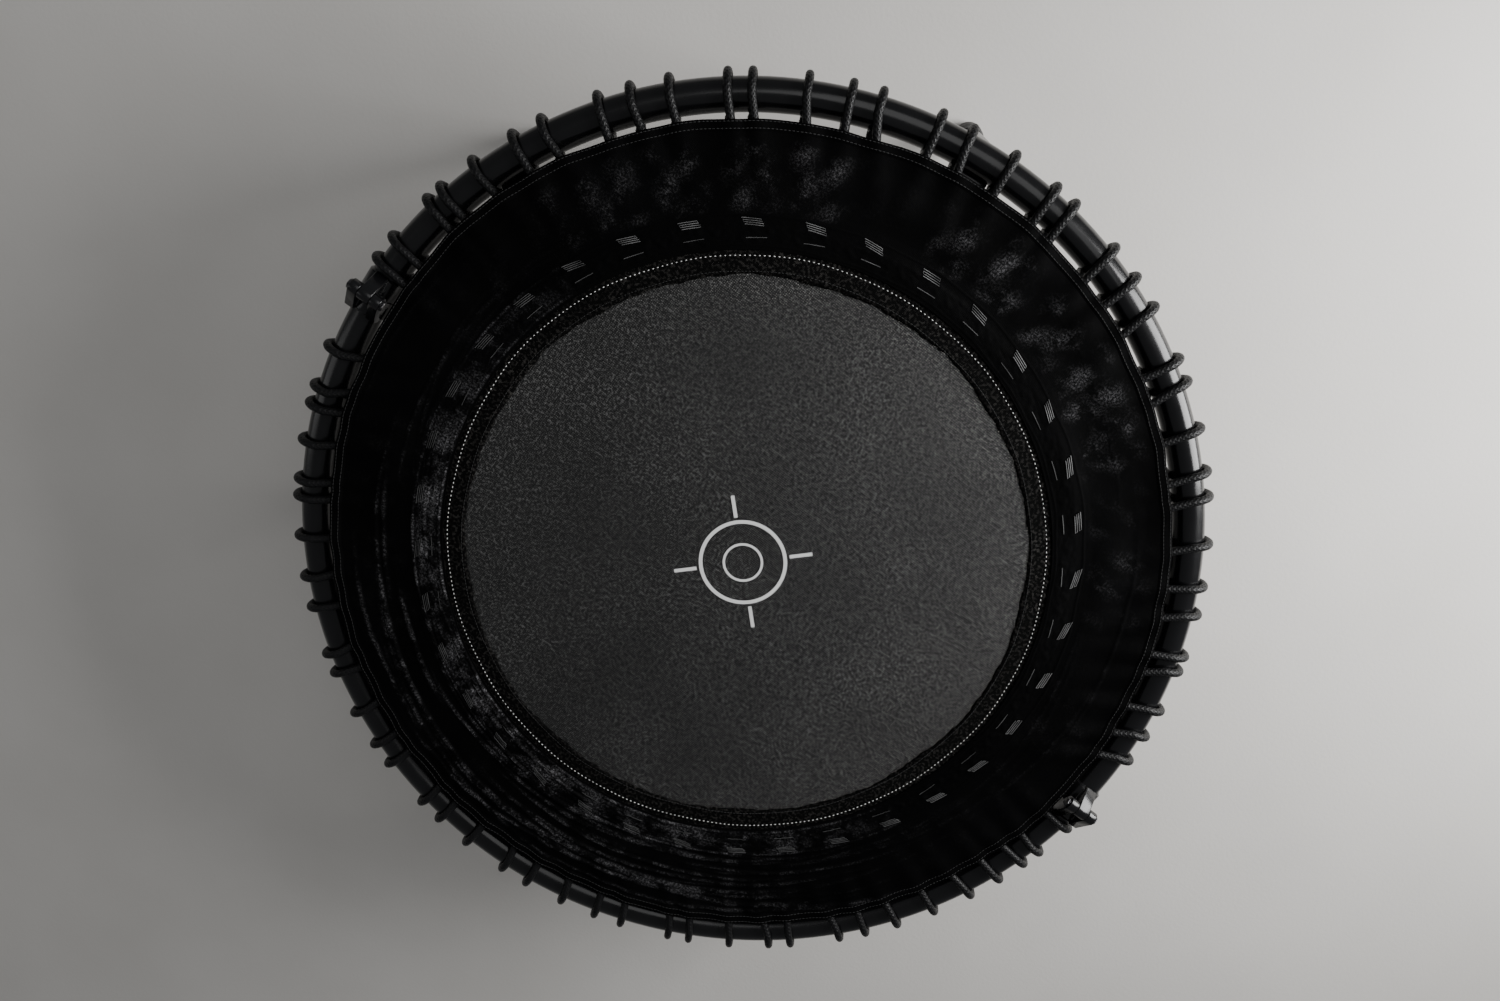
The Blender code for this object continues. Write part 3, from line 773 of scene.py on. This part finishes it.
def make_plugs(body, word, side):
    """Plastic plugs in the tube ends at the fold and in the legs' inner ends."""
    shape = Shape()
    dome = [(0.0, 0.0045), (0.006, 0.0042), (0.011, 0.003), (0.0145, 0.0012), (0.0160, 0.0), (0.0160, -0.006)]
    dome += [(0.0, -0.006)]
    for end in (-1, 1):
        turn = spun(90.0 * side, "X")
        place = Matrix.Translation((end * RING_RADIUS, side * 0.006, RING_Z))
        shape.lathe([(r + 1e-5, z) for r, z in dome], 32, place @ turn)
    cap = [(0.0, 0.0022), (0.009, 0.0020), (0.0128, 0.0012), (0.0146, 0.0002), (0.0146, -0.0012)]
    cap += [(0.0126, -0.0014), (0.0126, -0.008), (0.0, -0.008)]
    for angle in legs_of(body):
        spin = spun(angle)
        place = Matrix.Translation((LEG_INNER_END - 0.0008, 0.0, RING_Z - LEG_DROP))
        turn = spun(-90.0, "Y")
        shape.lathe([(r + 1e-5, z) for r, z in cap], 32, spin @ place @ turn)
    plugs = shape.object(f"tube_plugs_{word}", PLASTIC, sharp=40.0)
    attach(plugs, body)


# ---- hinge bolts -----------------------------------------------------------------------------------


def hexagon(shape, across, low, high, matrix, chamfer=0.0008):
    """A chamfered hexagon head between two heights on an axis."""
    rings = ((0.84, low), (1.0, low + chamfer), (1.0, high - chamfer), (0.84, high))
    turn = np.arange(6) * math.pi / 3
    radius = across / math.sqrt(3)
    points = np.array(
        [[(k * radius * math.cos(a), k * radius * math.sin(a), z) for a in turn] for k, z in rings]
    )
    us = [0.0, 0.001, 0.004, 0.005]
    base = shape.grid(moved(points, matrix), us, np.linspace(0.0, 0.03, 7), around=True)
    shape.cap_ends(base, len(rings), 6)


def make_hinge_bolts():
    grip = MIDDLE_LEAF / 2 + LEAF_GAP + OUTER_LEAF + LEAF_GAP
    for word, end in (("left", -1), ("right", 1)):
        shape = Shape()
        turn = spun(90.0, "Y")
        matrix = Matrix.Translation((end * RING_RADIUS, 0.0, HINGE_Z)) @ turn
        shape.lathe([(1e-5, grip), (0.004, grip), (0.004, -grip), (1e-5, -grip)], 20, matrix)
        for way in (-1, 1):
            face = way * grip
            over = face + way * 0.0007
            shape.lathe([(0.004, face), (0.0066, face), (0.0066, over), (0.004, over)], 28, matrix)
            hexagon(shape, 0.0115, *sorted((over, face + way * 0.003)), matrix)
        bolt = shape.object(f"hinge_bolt_{word}", BOLT_STEEL, sharp=30.0)
        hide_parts(f"hinge_pin_{word}")
        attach(bolt, FRONT)


# ---- legs, feet and knobs --------------------------------------------------------------------------


def leg_out(height):
    """How far out the splayed part of a leg's centre line is at a height."""
    bend_end = RING_Z - LEG_DROP - LEG_BEND + LEG_BEND * math.sin(LEG_SPLAY)
    return LEG_BEND_START + LEG_BEND * math.cos(LEG_SPLAY) + (bend_end - height) * math.tan(LEG_SPLAY)


def leg_line():
    """The leg's centre line in the XZ plane."""
    top = RING_Z - LEG_DROP
    line = [np.array((x, 0.0, top)) for x in np.linspace(LEG_INNER_END, LEG_BEND_START, 5)]
    for turned in np.linspace(0.0, math.pi / 2 - LEG_SPLAY, 17)[1:]:
        drop = LEG_BEND * (1 - math.cos(turned))
        line.append(np.array((LEG_BEND_START + LEG_BEND * math.sin(turned), 0.0, top - drop)))
    for z in np.linspace(line[-1][2], FOOT_HEIGHT - 0.02, 8)[1:]:
        line.append(np.array((leg_out(z), 0.0, z)))
    return np.array(line)


def foot_profile():
    """The rubber cap: a rolled lip, two grip rings, a flared sole with a groove, and a flat base."""
    r, top = FOOT_RADIUS, FOOT_HEIGHT
    bore = LEG_RADIUS + 0.0004
    profile = [(bore, top - 0.012), (bore, top - 0.001), (bore + 0.0006, top)]
    profile += [(r - 0.0035, top), (r - 0.0022, top - 0.0008)]
    profile += [(r - 0.0016, top - 0.0025), (r - 0.0016, top - 0.0045)]
    for middle in (top - 0.010, top - 0.016, top - 0.022):
        profile += [(r - 0.0022, middle + 0.0018), (r - 0.0012, middle + 0.0008)]
        profile += [(r - 0.0012, middle - 0.0008), (r - 0.0022, middle - 0.0018)]
    profile += [(r - 0.0016, 0.020), (r - 0.0006, 0.0150), (r, 0.0125), (r, 0.0095), (r - 0.0010, 0.0086)]
    profile += [(r - 0.0010, 0.0078), (r - 0.0002, 0.0070), (r - 0.0008, 0.0045), (r - 0.0024, 0.0020)]
    profile += [(r - 0.0048, 0.0006), (0.0140, 0.0), (0.0120, 0.0), (0.0115, 0.0008), (0.0095, 0.0008)]
    profile += [(0.0090, 0.0), (1e-5, 0.0)]
    return profile


def make_legs():
    line = leg_line()
    for number, angle in enumerate(LEG_ANGLES, start=1):
        body = half_of(angle)
        spin = spun(angle)
        turned = np.array(spin)[:3, :3]
        shape = Shape()
        shape.tube(line @ turned.T, LEG_RADIUS, sides=32, capped=True)
        leg = shape.object(f"leg_tube_{number}", STEEL, sharp=50.0)
        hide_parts(f"leg_{number}")
        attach(leg, body)
        cap = Shape()
        lean = Matrix.Identity(4)
        lean[0][2] = -math.tan(LEG_SPLAY)
        cap.lathe(foot_profile(), 48, spin @ Matrix.Translation((leg_out(0.0), 0.0, 0.0)) @ lean)
        foot = cap.object(f"rubber_foot_{number}", RUBBER, sharp=45.0)
        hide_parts(f"foot_{number}")
        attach(foot, body)


def knob_handle(matrix, name):
    """The T-handle: a ribbed hub and a bar that swells towards its rounded ends."""
    shape = Shape()
    hub = [(1e-5, 0.0), (0.0105, 0.0), (0.0118, -0.0010), (0.0118, -0.0026), (0.0098, -0.0045)]
    hub += [(0.0080, -0.0075), (0.0076, -0.0110), (0.0082, -0.0150), (0.0090, -0.0185), (0.0082, -0.0235), (1e-5, -0.0245)]
    shape.lathe(hub, 36, matrix)
    reach, bar = 0.030, -0.021
    t = np.linspace(-1.0, 1.0, 33)
    line = np.stack([np.zeros_like(t), reach * t, bar - 0.0012 * t**2], axis=1)
    swell = 0.0066 + 0.0014 * np.abs(t) ** 1.5
    ends = np.sqrt(np.clip(1.0 - np.clip((np.abs(t) - 0.80) / 0.2, 0.0, 0.995) ** 2, 0.0, 1.0))
    shape.tube(moved(line, matrix), swell * ends, sides=20)
    return shape.object(name, PLASTIC, sharp=40.0)


def knob_screw(matrix, name):
    """The knob's steel screw, threaded, with a washer under the leg."""
    shape = Shape()
    top = LEG_DROP + LEG_RADIUS - 0.019
    profile = [(0.0040, 0.0002), (0.0092, 0.0002), (0.0092, 0.0004), (0.0034, 0.0004)]
    pitch = 0.0015
    turns = int((top - 0.004) / pitch)
    for k in range(turns):
        profile += [(0.0040, 0.002 + k * pitch), (0.0034, 0.002 + (k + 0.5) * pitch)]
    profile += [(0.0030, top), (1e-5, top)]
    shape.lathe([(1e-5, 0.0002)] + profile, 24, matrix)
    return shape.object(name, BOLT_STEEL, sharp=30.0)


def make_knobs():
    knob_top = RING_Z - LEG_DROP - LEG_RADIUS - 0.0004
    for number, angle in enumerate(LEG_ANGLES, start=1):
        spin = spun(angle)
        matrix = spin @ Matrix.Translation((KNOB_OUT, 0.0, knob_top))
        handle = knob_handle(matrix, f"t_handle_{number}")
        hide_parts(f"leg_knob_{number}")
        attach(handle, f"knob_{number}")
        screw = knob_screw(matrix, f"knob_screw_{number}")
        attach(screw, f"knob_{number}")


# ---- cords -----------------------------------------------------------------------------------------


def mean_angle(points):
    middle = points.mean(axis=0)
    return math.degrees(math.atan2(middle[1], middle[0]))


def cord_angles(node):
    """The angles round the ring of a cord's first wrap, its loop at the mat and its second wrap."""
    points = np.array([v.co for v in frame["nodes"][node].data.vertices])
    radius = np.hypot(points[:, 0], points[:, 1])
    loop = mean_angle(points[radius < BIGHT_RADIUS + 0.003])
    under = points[points[:, 2] < RING_Z - 0.015]
    middle = mean_angle(under)
    around = wrapped(np.degrees(np.arctan2(under[:, 1], under[:, 0])) - middle)
    return middle + around[around < 0].mean(), loop, middle + around[around > 0].mean()


CORD_NAMES = sorted(n for n in frame["nodes"] if n.startswith("cord_"))
CORD_ANGLES = {name: cord_angles(name) for name in CORD_NAMES}


def round_tube(wrap, degrees):
    """A point of a cord's middle line where it lies round the tube."""
    a = math.radians(degrees)
    return polar(RING_RADIUS + WRAP_RADIUS * math.cos(a), wrap, RING_Z + WRAP_RADIUS * math.sin(a))


def strand_ends(wrap, loop, way):
    """Where a strand leaves the top of the tube, and where it reaches the loop at the mat's edge."""
    outer = round_tube(wrap, 95.0)
    spread = math.degrees(BIGHT_HALF_WIDTH / STRAND_ROOT)
    return outer, polar(STRAND_ROOT, loop + way * spread, RING_Z + BIGHT_RISE)


def wrap_line(wrap, loop, way):
    """One end of a cord: from under its own strand, down round the tube, and back in over its top."""
    outer, inner = strand_ends(wrap, loop, way)
    inward = (inner - outer) / np.linalg.norm(inner - outer)
    below = np.array([0.0, 0.0, -(2 * CORD_RADIUS + 0.0003)])
    tail = [outer + inward * t + below for t in (0.056, 0.049, 0.041, 0.034)]
    turn = polar(RING_RADIUS - 0.0262, wrap, RING_Z + 0.0075)
    circle = [round_tube(wrap, degrees) for degrees in np.arange(-176.0, 95.0, 15.0)]
    return tail + [turn] + circle + [outer], [outer + inward * t for t in (0.02, 0.05, 0.08, 0.105)]


def loop_line(loop):
    """The cord's turn at the mat's edge."""
    points = []
    for degrees in (125.0, 150.0, 180.0, 210.0, 235.0):
        a = math.radians(degrees)
        radius = STRAND_ROOT + 0.010 * math.cos(a)
        across = BIGHT_HALF_WIDTH * 0.98 * math.sin(a)
        points.append(polar(radius, loop + math.degrees(across / radius), RING_Z + BIGHT_RISE))
    return points


def cord_line(angles):
    first, loop, second = angles
    wrap_one, strand_one = wrap_line(first, loop, -1)
    wrap_two, strand_two = wrap_line(second, loop, 1)
    turn = list(reversed(loop_line(loop)))
    return smooth_line(wrap_one + strand_one + turn + strand_two[::-1] + wrap_two[::-1], 0.0035)


def clip_ring(shape, wrap, loop, way):
    """A moulded clip that holds a cord's end under its own strand."""
    outer, inner = strand_ends(wrap, loop, way)
    inward = (inner - outer) / np.linalg.norm(inner - outer)
    side = np.cross((0.0, 0.0, 1.0), inward)
    side /= np.linalg.norm(side)
    rise = np.cross(inward, side)
    centre = outer + inward * 0.047 - rise * (CORD_RADIUS + 0.00015)
    turn = full_turn(28)
    stadium = np.stack([np.cos(turn), np.sin(turn) + np.sign(np.sin(turn)) * 0.95], axis=1)
    rings = ((0.0051, -0.0068), (0.0058, -0.0070), (0.0062, -0.0062), (0.0062, 0.0062), (0.0058, 0.0070))
    rings += ((0.0051, 0.0068), (0.0051, -0.0068))
    rows = []
    for radius, along in rings:
        section = centre + inward * along + side * (radius * stadium[:, :1])
        height = radius * np.sin(turn) + np.sign(np.sin(turn)) * 0.0051
        rows.append(section + rise * height[:, None])
    us = np.linspace(0.0, 0.03, len(rings))
    shape.grid(np.array(rows), us, np.linspace(0.0, 0.04, 29), around=True)


def make_cords():
    clips = {FRONT: Shape(), BACK: Shape()}
    for name in CORD_NAMES:
        first, loop, second = CORD_ANGLES[name]
        body = half_of(loop)
        shape = Shape()
        shape.tube(cord_line(CORD_ANGLES[name]), CORD_RADIUS, sides=12)
        cord = shape.object(f"elastic_{name}", CORD, sharp=60.0)
        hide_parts(name)
        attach(cord, body)
        clip_ring(clips[body], first, loop, -1)
        clip_ring(clips[body], second, loop, 1)
    for body, word, _ in HALVES:
        made = clips[body].object(f"cord_clips_{word}", PLASTIC, sharp=35.0)
        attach(made, body)


def make_loops():
    """Webbing loops sewn to the mat's edge, one round each cord."""
    for body, word, _ in HALVES:
        shape = Shape()
        for name in CORD_NAMES:
            loop = CORD_ANGLES[name][1]
            if half_of(loop) != body:
                continue
            hug = CORD_RADIUS + 0.0008
            path = [(0.386, MAT_RISE - 0.0012), (0.398, MAT_RISE - 0.0012)]
            for degrees in range(105, -130, -20):
                a = math.radians(degrees)
                path.append((BIGHT_RADIUS + hug * math.cos(a), BIGHT_RISE + hug * math.sin(a)))
            path += [(0.399, MAT_RISE - 0.0062), (0.392, MAT_RISE - 0.0030), (0.384, MAT_RISE - 0.0026)]
            line = smooth_line([(r, 0.0, z) for r, z in path], 0.0012)
            along = np.gradient(line, axis=0)
            along /= np.linalg.norm(along, axis=1)[:, None]
            out = np.stack([-along[:, 2], np.zeros(len(line)), along[:, 0]], axis=1) * 0.00055
            spin = np.array(Matrix.Rotation(math.radians(loop), 3, "Z"))
            rim = []
            for across, lift in ((-1, 1), (1, 1), (1, -1), (-1, -1)):
                rim.append(line + lift * out + np.array([0.0, across * 0.0062, 0.0]))
            ring = np.stack(rim, axis=1) @ spin.T + np.array([0.0, 0.0, RING_Z])
            base = shape.grid(ring, run_length(line), [0.0, 0.0124, 0.0135, 0.0259, 0.027], around=True)
            shape.cap_ends(base, len(line), 4)
        made = shape.object(f"cord_loops_{word}", WEBBING, sharp=45.0)
        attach(made, body)


# ---- mat and skirt ---------------------------------------------------------------------------------


def disc_sheet(name, radii, columns, height, material, edge=None):
    """A ring or disc of cloth. height gives its rise over the ring's middle, and edge shifts its radius."""
    turn = np.linspace(0.0, 360.0, columns, endpoint=False)
    radius, degrees = np.meshgrid(radii, turn, indexing="ij")
    rise = height(radius, degrees)
    out = radius if edge is None else radius + edge(radius, degrees)
    angle = np.radians(degrees)
    points = np.stack([out * np.cos(angle), out * np.sin(angle), RING_Z + rise], axis=-1)
    shape = Shape()
    base = shape.grid(points, around=True)
    if radii[0] < 0.02:
        shape.cap(range(base, base + columns))
    return shape.object(name, material, sharp=70.0), radius, degrees


def solid(obj, thickness, offset):
    """Gives a sheet its thickness, on the side that offset says."""
    modifier = obj.modifiers.new("thickness", "SOLIDIFY")
    modifier.thickness = thickness
    modifier.offset = offset
    modifier.use_even_offset = True


def ripples(radius, degrees, terms):
    """A sum of waves: (height, waves a metre along the radius, waves round the ring, phase)."""
    total = np.zeros_like(radius)
    for height, along, around, phase in terms:
        total += height * np.sin(2 * math.pi * along * radius + np.radians(around * degrees) + phase)
    return total


def strand_gap(radius, degrees):
    """Distance in metres, along the circle, from each point to the nearest cord strand."""
    gap = np.full(radius.shape, 1.0)
    spread = math.degrees(BIGHT_HALF_WIDTH / STRAND_ROOT)
    share = np.clip((radius - STRAND_ROOT) / (RING_RADIUS - STRAND_ROOT), 0.0, 1.0)
    for first, loop, second in CORD_ANGLES.values():
        for wrap, way in ((first, -1), (second, 1)):
            root = loop + way * spread
            strand = root + share * wrapped(wrap - root)
            away = np.abs(wrapped(degrees - strand))
            gap = np.minimum(gap, np.radians(away) * radius)
    return gap


def strand_top(radius):
    """Rise of the strands' upper side over the ring's middle."""
    slope = (WRAP_RADIUS - BIGHT_RISE) / (RING_RADIUS - STRAND_ROOT)
    return BIGHT_RISE + CORD_RADIUS + slope * np.clip(radius - STRAND_ROOT, 0.0, None)


def slackness(degrees):
    """How loose the skirt is round the ring: slackest at one side of the front half."""
    return 0.30 + 0.70 * (0.5 + 0.5 * np.cos(np.radians(degrees - 258.0))) ** 1.3


def make_creases(count=64, seed=11):
    """Long creases: (middle angle, half length in degrees, radius, drift a degree, half width, height)."""
    luck = np.random.default_rng(seed)
    creases = []
    for _ in range(count):
        middle = luck.normal(258.0, 62.0) % 360.0
        drift = luck.normal(0.0, 0.00035)
        creases.append(
            (
                middle,
                luck.uniform(9.0, 30.0),
                luck.uniform(SKIRT_INNER + 0.012, SKIRT_OUTER - 0.014),
                drift,
                luck.uniform(0.0013, 0.0026),
                luck.uniform(0.0006, 0.0017) * float(slackness(middle)),
            )
        )
    return creases


CREASES = make_creases()
STRIP_SEAMS = (0.3785, 0.4112)
SWELLS = ((0.0006, 11.0, 4, 0.9), (0.0005, 17.0, -7, 3.0), (0.0004, 9.0, 13, 5.2))
PUCKERS = ((0.0008, 24.0, 61, 0.3), (0.0007, -38.0, 97, 1.9))
PUCKERS += ((0.0005, 61.0, 149, 4.0), (0.0004, 90.0, -211, 2.2))


def creased(radius, degrees):
    total = np.zeros_like(radius)
    for middle, length, place, drift, width, height in CREASES:
        away = wrapped(degrees - middle)
        wander = place + drift * away + 0.0011 * np.sin(np.radians(away * 13.0) + middle)
        total += height * np.exp(-(((radius - wander) / width) ** 2)) * np.exp(-((away / length) ** 4))
    return total


def skirt_edge(radius, degrees):
    """How far the skirt's outer part is pulled in or out of round."""
    share = np.clip((radius - 0.44) / (SKIRT_OUTER - 0.44), 0.0, 1.0)
    waves = ((0.0009, 5, 0.4), (0.0007, 11, 2.0), (0.0006, 23, 4.1), (0.0004, 41, 1.0))
    return share * sum(h * np.sin(np.radians(n * degrees) + phase) for h, n, phase in waves)


def skirt_rise(radius, degrees):
    """The skirt's shape: laid over the cords, sagging a little between them, creased round the ring."""
    ease = np.clip((radius - SKIRT_INNER) / 0.03, 0.0, 1.0)
    over = np.maximum(strand_top(radius) + 0.0016, MAT_RISE + 0.0012)
    span = np.clip((radius - STRAND_ROOT) / (SKIRT_OUTER - STRAND_ROOT), 0.0, 1.0)
    gap = strand_gap(radius, degrees)
    sag = 0.0030 * span * (1.0 - np.exp(-((gap / 0.013) ** 2)))
    loose = slackness(degrees)
    hold = 1.0 - np.clip((radius - HEM_INNER + 0.006) / 0.01, 0.0, 1.0) * 0.7
    crease = creased(radius, degrees) * hold
    swell = ripples(radius, degrees, SWELLS) * ease
    strip = np.exp(-(((radius - 0.392) / 0.0125) ** 4))
    pucker = np.abs(ripples(radius, degrees, PUCKERS)) * strip * loose
    hem = 0.0006 * np.clip((radius - HEM_INNER) / 0.0008, 0.0, 1.0)
    wander = 0.0009 * np.sin(np.radians(9.0 * degrees)) + 0.0006 * np.sin(np.radians(31.0 * degrees) + 0.7)
    seams = sum(np.exp(-(((radius - at - wander) / 0.0011) ** 2)) for at in STRIP_SEAMS)
    lift = (0.0012 * strip + 0.0010 * seams) * loose
    return over - sag + np.clip(swell, -0.0010, 0.002) + crease + pucker + lift + hem + 0.0006


def toward(degrees, middle, power=1.0):
    """1 at one side of the ring, fading to nothing a quarter round from it."""
    return np.clip(np.cos(np.radians(degrees - middle)), 0.0, 1.0) ** power


def sheen_and_wear_share(radius, degrees):
    """0 to 1, the cloth's painted sheen and wear: over the cords, partly wear and shown mainly on the lit
    side, along crease crests, and on the slack strip inside and its seams.
    """
    gap = strand_gap(radius, degrees)
    worn = np.exp(-((gap / 0.013) ** 2))
    inside = np.clip((radius - 0.412) / 0.012, 0.0, 1.0) * np.clip((0.497 - radius) / 0.02, 0.0, 1.0)
    patchy = 0.5 + 0.5 * np.sin(np.radians(degrees * 9.0) + 1.0) * np.sin(np.radians(degrees * 4.0) + 0.6)
    patchy = patchy * (0.65 + 0.35 * np.sin(radius * 120.0 + degrees * 0.9))
    # Painted sheen: the patches over the cords fade away from the side the light comes from.
    lit = 0.05 + 0.95 * toward(degrees, 92.0, 1.5)
    strip = np.exp(-(((radius - 0.3945) / 0.0140) ** 8))
    # Painted highlight on the slack strip and its seams, strongest on one side of the ring.
    side = toward(degrees, 247.0, 0.5)
    loop = np.exp(-((((degrees % 10.0) - 5.0) / 2.2) ** 2))
    lumpy = 0.35 + 0.65 * loop * (0.6 + 0.4 * np.sin(np.radians(degrees * 7.0) + 2.0))
    seam = sum(np.exp(-(((radius - at) / 0.0013) ** 2)) for at in STRIP_SEAMS)
    # Painted highlight along the crease crests, strongest on two sides of the ring.
    sides = 0.04 + 0.50 * toward(degrees, 255.0) + 0.14 * toward(degrees, 50.0)
    crests = np.clip(creased(radius, degrees) / 0.0012, 0.0, 1.0) ** 1.5 * sides
    cords = worn * inside * np.clip(patchy * 1.6 - 0.2, 0.03, 0.8) * lit * 0.75
    return np.clip(np.maximum(cords + crests, strip * side * lumpy + seam * side), 0.0, 1.0)


def make_mat():
    def flat(radius, degrees):
        outward = np.clip((radius - 0.10) / 0.10, 0.0, 1.0)
        return MAT_RISE + 0.00015 * outward * np.sin(radius * 40.0) * np.sin(np.radians(3 * degrees))

    radii = np.linspace(0.004, MESH_RADIUS, MESH_RINGS)
    mesh, *_ = disc_sheet("mat_mesh", radii, MESH_COLUMNS, flat, MESH)
    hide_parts("mat_half_front", "mat_half_back")
    bends(mesh)


def band_edge(radius, degrees):
    """The uneven cut of the band's inner edge, fading out across it."""
    share = np.clip((BAND_OUTER - 0.006 - radius) / (BAND_OUTER - 0.006 - BAND_INNER), 0.0, 1.0)
    waves = ((0.0011, 9, 0.5), (0.0009, 17, 2.3), (0.0006, 43, 1.2), (0.0004, 89, 3.0), (0.0003, 171, 0.2))
    return share * sum(h * np.sin(np.radians(n * degrees) + phase) for h, n, phase in waves)


def make_band():
    """A second layer of close mesh on the mat, and the webbing sewn round outside it, above and below."""
    rings = (
        ("mat_band", BAND_INNER, BAND_OUTER, MAT_RISE + 0.0004, 0.0007, BAND),
        ("edge_webbing_top", WEB_INNER, WEB_OUTER, MAT_RISE + 0.0004, 0.0011, WEBBING),
        ("edge_webbing_under", WEB_INNER, WEB_OUTER, MAT_RISE - 0.0004, -0.0011, WEBBING),
    )
    for name, inner, outer, rise, thickness, material in rings:
        radii = np.linspace(inner, outer, 8)
        edge = band_edge if name == "mat_band" else None
        ring, *_ = disc_sheet(name, radii, 720, lambda r, d, rise=rise: np.full_like(r, rise), material, edge)
        solid(ring, abs(thickness), 1.0 if thickness > 0 else -1.0)
        bends(ring)


def make_skirt():
    strip_end = STRIP_SEAMS[1] + 0.003
    radii = np.concatenate(
        [
            np.arange(SKIRT_INNER, strip_end, 0.0009),
            np.linspace(strip_end, HEM_INNER, 52),
            np.linspace(HEM_INNER + 0.0008, SKIRT_OUTER, 7),
        ]
    )
    skirt, radius, degrees = disc_sheet("skirt", radii, 900, skirt_rise, SKIRT, skirt_edge)
    # The skirt's painted sheen, partly wear, stored per point for its material.
    wear_and_sheen = skirt.data.attributes.new("wear_and_sheen", "FLOAT", "POINT")
    wear_and_sheen.data.foreach_set("value", sheen_and_wear_share(radius, degrees).astype(np.float32).ravel())
    solid(skirt, 0.0008, 1.0)
    bends(skirt)


def skirt_point(radius, degrees, lift):
    """A point on the skirt's upper side."""
    at = np.array([[radius]]), np.array([[degrees]])
    out = radius + float(skirt_edge(*at)[0, 0])
    return polar(out, degrees, RING_Z + float(skirt_rise(*at)[0, 0]) + 0.0008 + lift)


def band_point(radius, degrees, lift):
    """A point on the band's upper side, on a seam that wanders slightly."""
    wander = 0.0006 * math.sin(math.radians(7 * degrees))
    wander += 0.0004 * math.sin(math.radians(19 * degrees) + 1.0)
    return polar(radius + wander, degrees, RING_Z + MAT_RISE + 0.0011 + lift)


def stitch_circle(name, radius, pitch, length, thickness, surface, material, slot):
    """A circle of machine stitches, each a short thread that dips into the cloth at both ends."""
    shape = Shape()
    count = int(round(2 * math.pi * radius / pitch))
    for k in range(count):
        middle = 360.0 * (k + 0.5) / count
        half = math.degrees(length / 2 / radius)
        line = []
        for t, dip in ((-1.0, 0.9), (-0.75, 0.1), (0.0, -0.25), (0.75, 0.1), (1.0, 0.9)):
            line.append(surface(radius, middle + t * half, (0.3 - dip) * thickness))
        shape.tube(line, thickness / 2, sides=6, capped=True)
    made = shape.object(name, material, sharp=60.0)
    bends(made)


def make_stitching():
    inner, outer = HEM_INNER + 0.0022, SKIRT_OUTER - 0.0022
    white = (0.0056, 0.0017, 0.0010, band_point, WHITE_THREAD, "thread_white")
    band = (0.0042, 0.0031, 0.0007, band_point, BLACK_THREAD, "skirt_fabric")
    hem = (0.0046, 0.0034, 0.0008, skirt_point, BLACK_THREAD, "skirt_fabric")
    stitch_circle("white_stitches", STITCH_RADIUS, *white)
    stitch_circle("band_stitches", BAND_INNER + 0.005, *band)
    stitch_circle("hem_stitches_inner", inner, *hem)
    stitch_circle("hem_stitches_outer", outer, *hem)


def make_tacks():
    """At each cord, a grey bar-tack through the skirt and a dash of thread nearer the mat."""
    tacks, dashes = Shape(), Shape()
    luck = np.random.default_rng(5)
    for name in CORD_NAMES:
        loop = CORD_ANGLES[name][1] + luck.normal(0.0, 0.18)
        half_width, rows, spacing, stagger = 0.0110, 4, 0.0024, 0.0013
        skew = luck.normal(0.0010, 0.0008)
        line = []
        for row in range(rows):
            place = row - (rows - 1) / 2
            for t in np.linspace(-1.0, 1.0, 7)[:: 1 if row % 2 else -1]:
                radius = TACK_RADIUS + place * spacing + skew * t
                degrees = loop + math.degrees((t * half_width + place * stagger) / TACK_RADIUS)
                line.append(skirt_point(radius, degrees, 0.0007))
        tacks.tube(line, 0.00042, sides=6)
        start, drift = luck.uniform(-0.017, -0.010), luck.normal(0.0, 0.0007)
        line = []
        for t in np.linspace(0.0, 1.0, 9):
            degrees = loop + math.degrees((start + t * 0.024) / DASH_RADIUS)
            line.append(skirt_point(DASH_RADIUS + drift * (t - 0.5), degrees, 0.0005))
        dashes.tube(line, 0.00040, sides=6)
    # Both threads carry painted shade, darker on the side of the mat away from the light.
    for name, shape, material in (("bar_tacks", tacks, GREY_THREAD), ("thread_dashes", dashes, DIM_THREAD)):
        made = shape.object(name, material, sharp=60.0)
        bends(made)


def make_print():
    """A plain target in the middle of the mat: two rings and four ticks."""
    shape = Shape()
    rise = RING_Z + MAT_RISE + 0.0005
    turn = np.linspace(0.0, 2 * math.pi, 97)

    def patch(points, closed=False):
        points = np.array(points)
        low = points - np.array([0.0, 0.0, 0.00015])
        high = points + np.array([0.0, 0.0, 0.00015])
        section = np.stack([low[0], high[0], high[1], low[1]], axis=1)
        base = shape.grid(section, np.linspace(0, 0.3, len(section)), np.linspace(0, 0.01, 5), around=True)
        if not closed:
            shape.cap_ends(base, len(section), 4)

    for inner, outer in ((0.0500, 0.0545), (0.0220, 0.0250)):
        circle = np.stack([np.cos(turn), np.sin(turn), np.zeros(97)], axis=1)
        lift = np.array([0.0, 0.0, rise])
        patch([circle * inner + lift, circle * outer + lift], closed=True)
    for quarter in range(4):
        spin = np.array(Matrix.Rotation(math.radians(45.0 + 90.0 * quarter), 3, "Z"))
        steps = np.linspace(0.058, 0.086, 9)
        sides = [np.stack([steps, np.full(9, w), np.full(9, rise)], axis=1) for w in (-0.0022, 0.0022)]
        patch([line @ spin.T for line in sides])
    made = shape.object("target_print", INK, sharp=30.0)
    bends(made)


# ---- the making ------------------------------------------------------------------------------------

make_camera()
make_studio()
make_floor()
make_cords()
make_loops()
for half in HALVES:
    for make in (make_ring_tube, make_collars, make_leaves, make_saddles, make_plugs):
        make(*half)
make_hinge_bolts()
make_legs()
make_knobs()
make_mat()
make_band()
make_skirt()
make_stitching()
make_tacks()
make_print()
